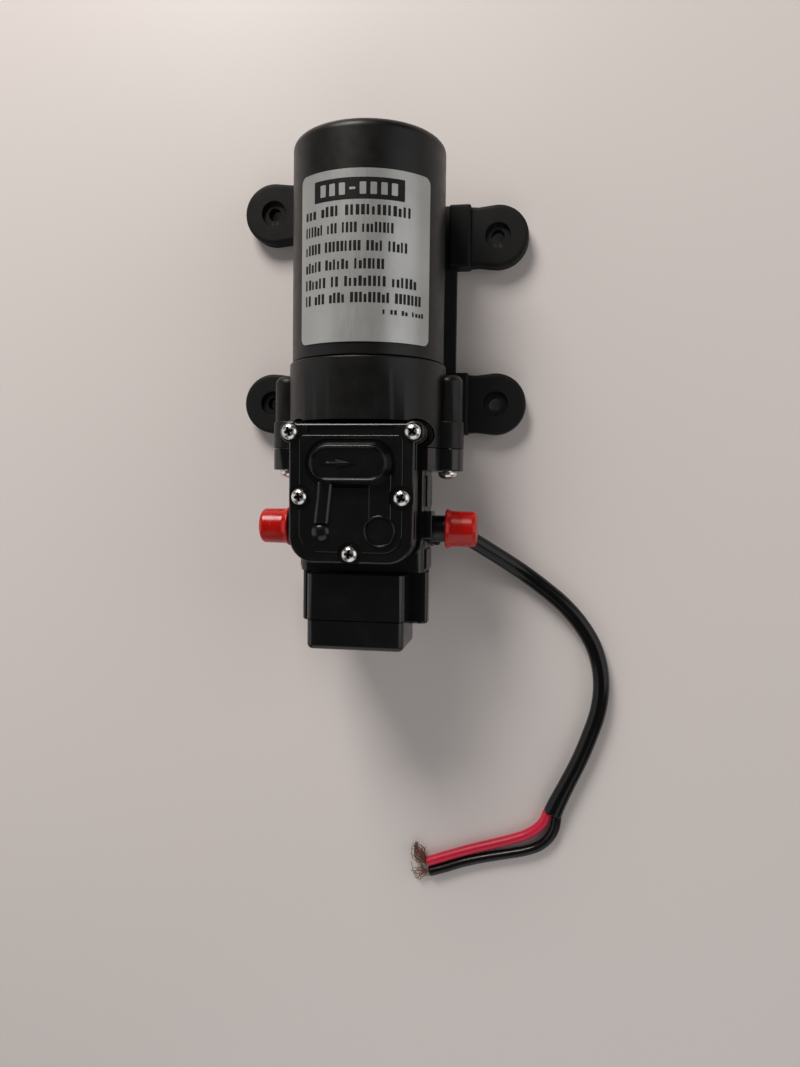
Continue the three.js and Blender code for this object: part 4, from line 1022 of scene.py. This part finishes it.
def stadium():
    """Oval dome: a low lip round its foot, a steep side, a round bead at its rim and a sunk top."""
    foot = COVER_FACE_Z + PLATEAU_RISE
    top = COVER_HIGH.z
    lip, bead, sunk = 0.7, 0.32, 0.7
    outline = capsule(
        -STADIUM_REACH, STADIUM_Y, STADIUM_REACH, STADIUM_Y, STADIUM_TOP_RADIUS + STADIUM_FLARE, 24
    )
    pairs = [(-lip, COVER_FACE_Z - 1), (-lip, foot)]
    pairs += arc(0, foot + lip, lip, 180, 270, 3)[1:]
    pairs += arc(STADIUM_FLARE, top - bead, bead, 180, 0, 6)
    pairs += [(STADIUM_FLARE + bead + 0.25, top - sunk + 0.08), (STADIUM_FLARE + bead + 0.6, top - sunk)]
    return loft([[(u, v, z) for u, v in outline(inset)] for inset, z in pairs])


def flow_arrow():
    """Raised arrow moulded on the sunk top, pointing from the inlet's side to the outlet's."""
    tail, base, tip = -7.9, -3.6, 2.4
    shaft, head = 0.42, 1.35
    upper = [(base, head), (base, shaft), (tail, shaft)]
    lower = [(x, -y) for x, y in reversed(upper)]
    outline = [(x, STADIUM_Y + y) for x, y in [(tip, 0), *upper, *lower]]
    return prism(lambda inset: outline, "z", COVER_HIGH.z - 1.0, COVER_HIGH.z - 0.3)


def bead_ring(x, y, radius, low, top, width=0.55):
    """A thin round-topped ring standing on the cover."""
    half = width / 2
    profile = [(radius - half, low), (radius + half, low)]
    profile += arc(radius, top - half, half, 0, 180, 8)
    return lathe(profile, "z", (x, y, 0), 72)


def ridge_and_dome():
    """A crowned rib that leans towards the dome, square at its end, and a low round dome below it."""
    face = COVER_FACE_Z
    end_y = DISC_Y + 2.1
    outline = capsule(RIDGE_X + 0.3, end_y, RIDGE_TOP_X, STADIUM_Y - 3, 2.4)
    rib = prism(outline, "z", face - 1, face + 1.8, 0, 1.5)
    square_end = block((RIDGE_X - 4, end_y - 4, face - 2), (RIDGE_X + 4, end_y, face + 4))
    radius, rise = 2.9, 1.7
    profile = [(0, face - 1), (radius, face - 1)]
    for angle in range(0, 90, 9):
        turn = math.radians(angle)
        profile.append((radius * math.cos(turn), face + rise * math.sin(turn)))
    profile.append((0, face + rise))
    dome = lathe(profile, "z", (RIDGE_X, DISC_Y - 0.5, 0), 64)
    return [cut(rib, square_end), dome]


def disc_and_channel():
    """A square-edged channel that runs down from the oval dome to a round boss."""
    face, half = COVER_FACE_Z, 3.4
    channel = prism(
        rounded(DISC_X - half, DISC_Y, DISC_X + half, STADIUM_Y - 3, 0.5), "z", face - 1, face + 0.95, 0, 0.4
    )
    boss = prism(disc(DISC_X, DISC_Y, DISC_RADIUS, 64), "z", face - 1, face + 0.75, 0, 0.3)
    return [channel, boss]


def make_cover():
    """Plate with a raised field, the dome, rib, channel and ring on it, and seats for the screws."""
    face = COVER_FACE_Z
    plate = prism(cover_outline(), "z", COVER_LOW.z, face, 0.3, 0.8)
    border, top_border = 3.3, 3.6
    field = rounded(
        -COVER_HALF + border, COVER_LOW.y + border, COVER_HALF - border, COVER_TOP_Y - top_border,
        COVER_CORNER - border + 1.2, 1.5,
    )
    plateau = prism(field, "z", face - 1, face + PLATEAU_RISE, 0.0, 0.3)
    screws = cover_screw_places()
    scallops = [prism(disc(p.x, p.y, 3.7, 40), "z", face - 0.35, face + 3) for p in screws[2:]]
    seats = [prism(disc(p.x, p.y, 2.95, 40), "z", face, face + 3) for p in screws[:2]]
    recess = prism(disc(DISC_X, DISC_Y, DISC_RADIUS - 0.65, 64), "z", face + 0.4, face + 3)
    cover = joined(plate, plateau, *ridge_and_dome(), *disc_and_channel())
    cover = cut(cover, recess, *scallops)
    groove_half = 13.2
    groove = block(
        (-groove_half, COVER_TOP_Y - 2.9, face - 0.8), (groove_half, COVER_TOP_Y - 0.75, face + 3)
    )
    cover = cut(cover, groove, *seats, *screw_bores(40, 70))
    ring = bead_ring(DISC_X, DISC_Y, DISC_RADIUS - 0.3, face + 0.3, face + 1.25)
    cover = joined(cover, stadium(), ring, flow_arrow())
    stand_in(smoothed(bevelled(cover, 0.15)), "cover_moulding", "front_cover")


# ---- screws ------------------------------------------------------------------------------------------
def cross_recess(top, reach=1.5):
    """Tapered cross cutter, drawn down from top."""
    arms = []
    for turn in (0, 90):
        rings = []
        for z, length, half in ((top + 0.3, reach, 0.42), (top - 1.7, reach * 0.45, 0.26)):
            corners = [(-length, -half), (length, -half), (length, half), (-length, half)]
            spin = Matrix.Rotation(math.radians(turn), 2)
            rings.append([(*(spin @ Vector(corner)), z) for corner in corners])
        arms.append(loft(rings))
    return joined(*arms)


def pan_screw(radius, rise, shank_radius, shank):
    """Cross-recessed pan head with its seat at the origin, shank down z.
    Returns the screw and the faces inside its recess."""
    rim = 0.55
    profile = [(0, -shank), (shank_radius - 0.3, -shank), (shank_radius, -shank + 0.5), (shank_radius, 0)]
    profile += [(radius - 0.12, 0), (radius, 0.12)]
    for angle in range(0, 90, 9):
        turn = math.radians(angle)
        profile.append((radius * math.cos(turn) ** 0.8, rim + (rise - rim) * math.sin(turn)))
    profile.append((0, rise))
    head = lathe(profile, "z", sides=56)
    head = cut(head, cross_recess(rise))
    head = smoothed(bevelled(head, 0.05, angle=40))
    reach = 1.5 * MM
    recess = []
    for face in head.data.polygons:
        place = face.center
        wall = abs(face.normal.z) < 0.8 and place.z > (rise - 1.6) * MM
        bottom = face.normal.z > 0.8 and 0 < place.z < (rise - 0.7) * MM
        if (wall or bottom) and math.hypot(place.x, place.y) < reach:
            recess.append(face.index)
    return head, recess


def place_screws(pattern, recess, places):
    """Copies of a screw, each with its cross recess painted dark as shade, standing for the nodes they are
    named after.
    """
    for node, matrix in places:
        screw = link("screw", pattern.data.copy())
        screw.data.transform(matrix)
        stand_in(screw, f"{node}_head", node)
        # The faces inside the recess get the painted-shade material.
        screw.data.materials.append(RECESS_SHADE)
        for index in recess:
            screw.data.polygons[index].material_index = 1
    bpy.data.objects.remove(pattern)


def make_cover_screws():
    pattern, recess = pan_screw(2.45, 2.0, 1.4, 14.5)
    places = []
    for i, turn in enumerate((18, 50, 8, 62, 84), start=1):
        node = f"cover_screw_{i}"
        high = span(node)[1]
        seat = Vector((middle(node).x, middle(node).y, high.z - 2.0)) * MM
        places.append((node, Matrix.Translation(seat) @ Matrix.Rotation(math.radians(turn), 4, "Z")))
    place_screws(pattern, recess, places)


def make_flange_screws():
    """Washer-headed screws that point up the motor axis from under the head's ears."""
    pattern, recess = pan_screw(3.0, 2.3, 1.5, 20)
    places = []
    for word in ("left", "right"):
        node = f"flange_screw_{word}"
        seat = Vector((middle(node).x, span(node)[0].y + 2.4, AXIS_Z)) * MM
        places.append((node, Matrix.Translation(seat) @ Matrix.Rotation(math.radians(90), 4, "X")))
    place_screws(pattern, recess, places)


# ---- ports, caps and gland ---------------------------------------------------------------------------
def facing(profile, side):
    """A profile along x turned to the left or the right."""
    return profile if side > 0 else [(r, -h) for r, h in reversed(profile)]


def make_port(word, side):
    low, high = span(f"{word}_port")
    length = high.x - low.x
    root = HEAD_HALF - 6.6
    tip = root + length
    bore = 3.1
    first_barb = HEAD_HALF + 7.6
    profile = [(bore, root), (4.3, root), (4.3, first_barb - 0.6), (4.5, first_barb)]
    for barb in (0, 1):
        start = first_barb + 3.2 * barb
        profile += [(4.5, start + 0.2), (3.85, start + 3.1), (4.5, start + 3.2)]
    profile += [(4.4, tip - 0.4), (4.0, tip), (bore + 0.2, tip), (bore, tip - 0.2)]
    port = lathe(facing(profile, side), "x", (0, PORT_Y, PORT_Z), 64)
    stand_in(smoothed(bevelled(port, 0.1)), f"{word}_fitting", f"{word}_port")


def make_cap(word, side):
    low, high = span(f"{word}_cap")
    open_end = min(abs(low.x), abs(high.x))
    tip = max(abs(low.x), abs(high.x))
    inner, outer, lip = 4.8, 5.8, 6.45
    profile = [(inner, open_end + 0.35)]
    profile += arc(inner + 0.35, open_end + 0.35, 0.35, 180, 270, 3)
    profile += arc(lip - 0.5, open_end + 0.5, 0.5, 270, 400, 8)
    profile += [(outer + 0.15, open_end + 1.5), (outer, open_end + 2.2), (outer - 0.08, tip - 4)]
    profile += arc(outer - 1.6, tip - 1.5, 1.5, 0, 80, 8)
    profile += [(2.4, tip - 0.06), (0, tip)]
    inside = tip - 1.1
    profile = profile + [(0, inside), (inner - 0.8, inside), (inner, inside - 0.8)]
    outline = profile[profile.index((0, inside)):] + profile[:profile.index((0, inside))]
    cap = lathe(facing(outline, side), "x", (0, PORT_Y, PORT_Z), 96)
    stand_in(smoothed(cap), f"{word}_transport_cap", f"{word}_cap")


def make_gland():
    low, high = span("cable_gland")
    bore = CABLE_WIDTH / MM / 2 + 0.15
    seat = HEAD_HALF + 0.3
    sleeve, rim = 3.6, 5.0
    profile = [(bore, low.x), (sleeve, low.x), (sleeve, seat), (rim - 0.2, seat), (rim, seat + 0.2)]
    profile += arc(rim - 0.8, high.x - 1.0, 0.8, 0, 70, 5)
    profile += [(sleeve, high.x - 0.15), (bore + 0.3, high.x), (bore, high.x - 0.2)]
    gland = lathe(profile, "x", (0, GLAND.y, GLAND.z), 64)
    stand_in(smoothed(gland), "lead_gland", "cable_gland")


# ---- pressure switch -----------------------------------------------------------------------------------
SWITCH_WALL = 1.8
SWITCH_Z = middle("adjusting_screw").z


def make_switch_housing():
    """Front box round the switch, and the wider wiring block behind it."""
    half, low_z, high_z = LID_HIGH.x, LID_LOW.z, LID_HIGH.z
    front = prism(rounded(-half, low_z, half, high_z, 2.2), "y", LID_HIGH.y + 0.3, SWITCH_HIGH.y)
    rear_half, rear_top = SWITCH_HIGH.x, low_z + 7.4
    floor, draw = SWITCH_LOW.z, rear_half - 3.0

    def rear_section(inset):
        right = arc(draw - 1.5 - inset, floor + 1.5 + inset, 1.5, 270, 352, 5)
        right += [(rear_half - inset, rear_top - 4)]
        right += arc(rear_half - 1.2 - inset, rear_top - 1.2 - inset, 1.2, 0, 90, 5)
        return right + [(-u, v) for u, v in reversed(right)]

    rear = prism(rear_section, "y", SWITCH_LOW.y, SWITCH_HIGH.y, 0.8, 0.0)
    grooves = []
    for side in (-1, 1):
        x0, x1 = sorted((side * (rear_half - 2.9), side * (rear_half - 2.1)))
        grooves.append(
            block((x0, SWITCH_LOW.y - 1, rear_top - 0.7), (x1, SWITCH_HIGH.y + 1, rear_top + 1), "y")
        )
    inner = half - SWITCH_WALL
    inner_low, inner_high = low_z + SWITCH_WALL, high_z - SWITCH_WALL
    wiring_half = 15.4
    hollows = [
        block((-inner, SWITCH_LOW.y - 1, inner_low), (inner, SWITCH_HIGH.y - 6, inner_high)),
        block((-wiring_half, SWITCH_LOW.y + 3, floor + 3), (wiring_half, SWITCH_HIGH.y + 1, floor + 15)),
    ]
    for radius, depth, sides in ((7.6, 1.5, 64), (5.5, 2.6, 48), (3.4, 7.0, 48)):
        step = rod(radius, SWITCH_HIGH.y - depth, SWITCH_HIGH.y + 1)
        hollows.append(lathe(step, "y", (0, 0, SWITCH_Z), sides))
    housing = cut(joined(front, rear), *grooves, *hollows)
    stand_in(smoothed(bevelled(housing, 0.22)), "switch_box", "switch_housing")


def make_switch_lid():
    half, low_z, high_z = LID_HIGH.x, LID_LOW.z, LID_HIGH.z
    shell = prism(rounded(-half, low_z, half, high_z, 2.2), "y", LID_LOW.y, LID_HIGH.y, 1.6, 0.0)
    inner = half - SWITCH_WALL
    hollow = block(
        (-inner, LID_LOW.y + SWITCH_WALL, low_z + SWITCH_WALL),
        (inner, LID_HIGH.y + 1, high_z - SWITCH_WALL),
    )
    rear_half = SWITCH_HIGH.x
    step = block((-rear_half, SWITCH_LOW.y - 0.3, 0), (rear_half, LID_HIGH.y + 1, low_z + 7.7))
    well = lathe(rod(3.2, LID_LOW.y - 1, LID_LOW.y + 4), "y", (0, 0, SWITCH_Z), 48)
    lid = cut(shell, hollow, step, well)
    stand_in(smoothed(bevelled(lid, 0.22)), "switch_lid", "switch_cover")


# ---- bracket and feet ----------------------------------------------------------------------------------
def make_bracket():
    """Pressed plate with rounded corners and the cradle the can sits in."""
    low, high = BRACKET_LOW, BRACKET_HIGH
    plate = prism(rounded(low.x, low.y, high.x, high.y, 3.0), "z", low.z, low.z + 2.0)
    cradle = block((-17, low.y + 22, low.z + 1.5), (17, high.y - 1.5, high.z), "z", 1.5)
    seat, past = CAN_RADIUS + 0.4, 10
    saddle = lathe(rod(seat, low.y - past, high.y + past), "y", (0, 0, AXIS_Z), 128)
    bracket = cut(joined(plate, cradle), saddle)
    stand_in(smoothed(bevelled(bracket, 0.3)), "base_plate", "base_bracket")


def foot_outline(root, radius):
    """Rounded ear with a slight waist between the ear and the jaw."""
    def outline(inset):
        ear = arc(0, 0, radius - inset, -100, 100, 28)
        waist = [(-radius * 0.62, radius * 0.93 - inset), (root + inset, radius - inset)]
        low_waist = [(root + inset, -radius + inset), (-radius * 0.62, -radius * 0.93 + inset)]
        return ear + waist + low_waist

    return outline


def make_foot(name, side):
    """A soft foot: ear to screw down, jaw that grips the bracket's edge."""
    low, high = span(name)
    radius = (high.y - low.y) / 2
    hole_x = max(abs(low.x), abs(high.x)) - radius
    root = min(abs(low.x), abs(high.x)) - hole_x
    jaw_end = root + 7.5
    ear = prism(foot_outline(root, radius), "z", 0, 6.0, 0.4, 1.1, flat=0.5)
    jaw = prism(rounded(root, -radius, jaw_end, radius, 0.8), "z", 0.2, high.z, 0, 0.9, flat=0.4)
    foot = joined(ear, jaw)
    slot = block(
        (root - 1, -radius - 1, BRACKET_LOW.z - 0.3),
        (BRACKET_HIGH.x + 0.3 - hole_x, radius + 1, BRACKET_LOW.z + 2.3),
    )
    hole = lathe(
        [(0, -1), (2.3, -1), (2.3, 4.4), (4.2, 4.4), (4.2, 5.7), (4.5, 6.0), (6.5, 8), (0, 8)], "z", sides=48
    )
    foot = smoothed(bevelled(cut(foot, slot, hole), 0.25, angle=50))
    turn = 0 if side > 0 else math.pi
    place = Matrix.Translation(Vector((side * hole_x, (low.y + high.y) / 2, 0)) * MM)
    foot.data.transform(place @ Matrix.Rotation(turn, 4, "Z"))
    stand_in(foot, f"{name}_rubber", name)


make_can()
make_label()
make_print()
make_drive_housing()
make_pump_head()
make_layers()
make_cover()
make_cover_screws()
make_flange_screws()
for word, side in (("inlet", -1), ("outlet", 1)):
    make_port(word, side)
    make_cap(word, side)
make_gland()
make_switch_housing()
make_switch_lid()
make_bracket()
for level in ("upper", "lower"):
    make_foot(f"foot_{level}_left", -1)
    make_foot(f"foot_{level}_right", 1)
dress_nodes()


# ---- floor and light -------------------------------------------------------------------------------------
def make_floor():
    bm = bmesh.new()
    bmesh.ops.create_grid(bm, x_segments=1, y_segments=1, size=2000)
    floor = from_bmesh(bm)
    floor.name = "floor"
    material, tree, principled = shader("floor", (0.74, 0.68, 0.655), 0.4)
    tree.links.new(spread(tree, noise(tree, 6, 3), 0.36, 0.46), principled.inputs["Roughness"])
    dress(floor, material)


def area_light(name, place, size, energy, colour=(1, 1, 1)):
    """A square soft light aimed at the middle of the pump."""
    light = bpy.data.objects.new(name, bpy.data.lights.new(name, "AREA"))
    bpy.context.scene.collection.objects.link(light)
    light.data.size = size
    light.data.energy = energy
    light.data.color = colour
    light.location = place
    aim = Vector((0, -0.02, 0.02)) - Vector(place)
    light.rotation_mode = "QUATERNION"
    light.rotation_quaternion = aim.to_track_quat("-Z", "Y")


def make_lights():
    area_light("key", (-0.3, 0.8, 0.6), 0.45, 9.5, (1.0, 0.96, 0.92))
    area_light("fill_left", (-0.9, -0.1, 0.45), 0.9, 1.8)
    area_light("fill_right", (0.9, 0.1, 0.5), 0.9, 2.8)
    area_light("front", (0.15, -0.9, 0.45), 1.1, 2.8)
    world = bpy.data.worlds.new("world")
    bpy.context.scene.world = world
    world.use_nodes = True
    world.node_tree.nodes["Background"].inputs["Color"].default_value = (0.9, 0.88, 0.87, 1)
    world.node_tree.nodes["Background"].inputs["Strength"].default_value = 0.08
    bpy.context.scene.view_settings.view_transform = "Standard"


make_floor()
make_lights()
